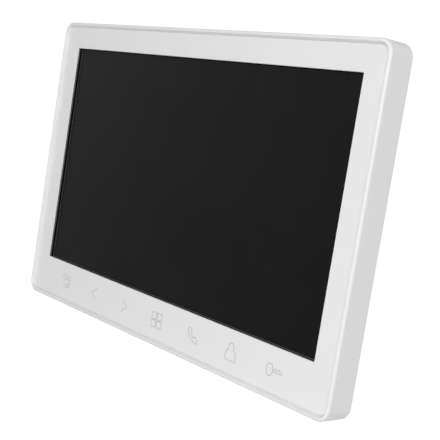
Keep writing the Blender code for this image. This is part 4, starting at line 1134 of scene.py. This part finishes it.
def studio():
    """A pale grey room, white behind the object, with a softbox before it and a smaller one below."""
    world = bpy.data.worlds.new("studio")
    bpy.context.scene.world = world
    world.use_nodes = True
    tree = world.node_tree
    way = tree.nodes.new("ShaderNodeTexCoord").outputs["Generated"]

    def graded(value, start, end, low, high):
        """Smoothly from low, a number or another grade, to high as the value goes from start to end."""
        made = tree.nodes.new("ShaderNodeMapRange")
        made.interpolation_type = "SMOOTHSTEP"
        tree.links.new(value, made.inputs["Value"])
        for socket, number in (("From Min", start), ("From Max", end), ("To Max", high)):
            made.inputs[socket].default_value = number
        if isinstance(low, float):
            made.inputs["To Min"].default_value = low
        else:
            tree.links.new(low, made.inputs["To Min"])
        return made.outputs["Result"]

    split = tree.nodes.new("ShaderNodeSeparateXYZ")
    tree.links.new(way, split.inputs["Vector"])
    aligned = tree.nodes.new("ShaderNodeVectorMath")
    aligned.operation = "DOT_PRODUCT"
    tree.links.new(way, aligned.inputs[0])
    aligned.inputs[1].default_value = -Vector(CAMERA_BACK)
    room_tone = graded(split.outputs["Z"], *ROOM_BLEND, *ROOM_TONE)
    whole_tone = graded(aligned.outputs["Value"], *PATCH_SPREAD, room_tone, PATCH_TONE)
    background = tree.nodes["Background"]
    background.inputs["Color"].default_value = WHITE
    tree.links.new(whole_tone, background.inputs["Strength"])

    bm = bmesh.new()
    bmesh.ops.create_circle(bm, cap_ends=True, segments=FLOOR_STEPS, radius=FLOOR_RADIUS)
    bmesh.ops.translate(bm, verts=bm.verts, vec=(0.0, 0.0, FLOOR_Z))
    floor = as_object("floor", bm)
    # The floor's colour is painted shade, grey under and before the object, and painted light, white and
    # glowing behind it
    pale = Finish("floor_painted_light_and_shade", 0.8)
    across = pale.node("ShaderNodeSeparateXYZ")
    pale.link(pale.place, across.inputs["Vector"])
    fade = pale.range_of(across.outputs["Y"], 0.0, 1.0, *FLOOR_FADE)
    pale.colour(fade, FLOOR_SHADE_GREY, FLOOR_LIT_WHITE, 0.0, 1.0)
    pale.gloss(pale.noise(300.0, 2.0), 0.05)
    glow = pale.range_of(fade, 0.0, FLOOR_PAINTED_GLOW, 0.0, 1.0)
    pale.shader.inputs["Emission Color"].default_value = WHITE
    pale.link(glow, pale.shader.inputs["Emission Strength"])
    floor.data.materials.append(pale.material)
    lamp("key_softbox", KEY_PLACE, KEY_SIZE, KEY_POWER)
    lamp("low_fill", FILL_PLACE, FILL_SIZE, FILL_POWER)


def lamp(name, place, size, power):
    """A square softbox that faces the object."""
    light = bpy.data.lights.new(name, "AREA")
    light.shape = "SQUARE"
    light.size = size
    light.energy = power
    obj = bpy.data.objects.new(name, light)
    bpy.context.scene.collection.objects.link(obj)
    obj.location = place
    obj.rotation_mode = "QUATERNION"
    obj.rotation_quaternion = (-Vector(place)).to_track_quat("-Z", "Y")


def camera():
    """From the front right and a little above, rolled to one side."""
    view = bpy.data.cameras.new("camera")
    view.sensor_width = CAMERA_SENSOR
    view.lens = CAMERA_LENS
    view.clip_start = 0.01
    obj = bpy.data.objects.new("camera", view)
    bpy.context.scene.collection.objects.link(obj)
    right = Vector(CAMERA_RIGHT).normalized()
    up = Vector(CAMERA_BACK).cross(right).normalized()
    back = right.cross(up)
    turn = Matrix((right, up, back)).transposed()
    obj.matrix_world = Matrix.Translation(CAMERA_PLACE) @ turn.to_4x4()
    bpy.context.scene.camera = obj


front_frame()
face_panel()
screen()
key_marks()
for name in sorted(NODES):
    if "screw" in name:
        screw(name)
power_knob()
eased_pieces()
board_dressing()
contacts()
studio()
camera()
bpy.context.scene.view_settings.view_transform = "Standard"
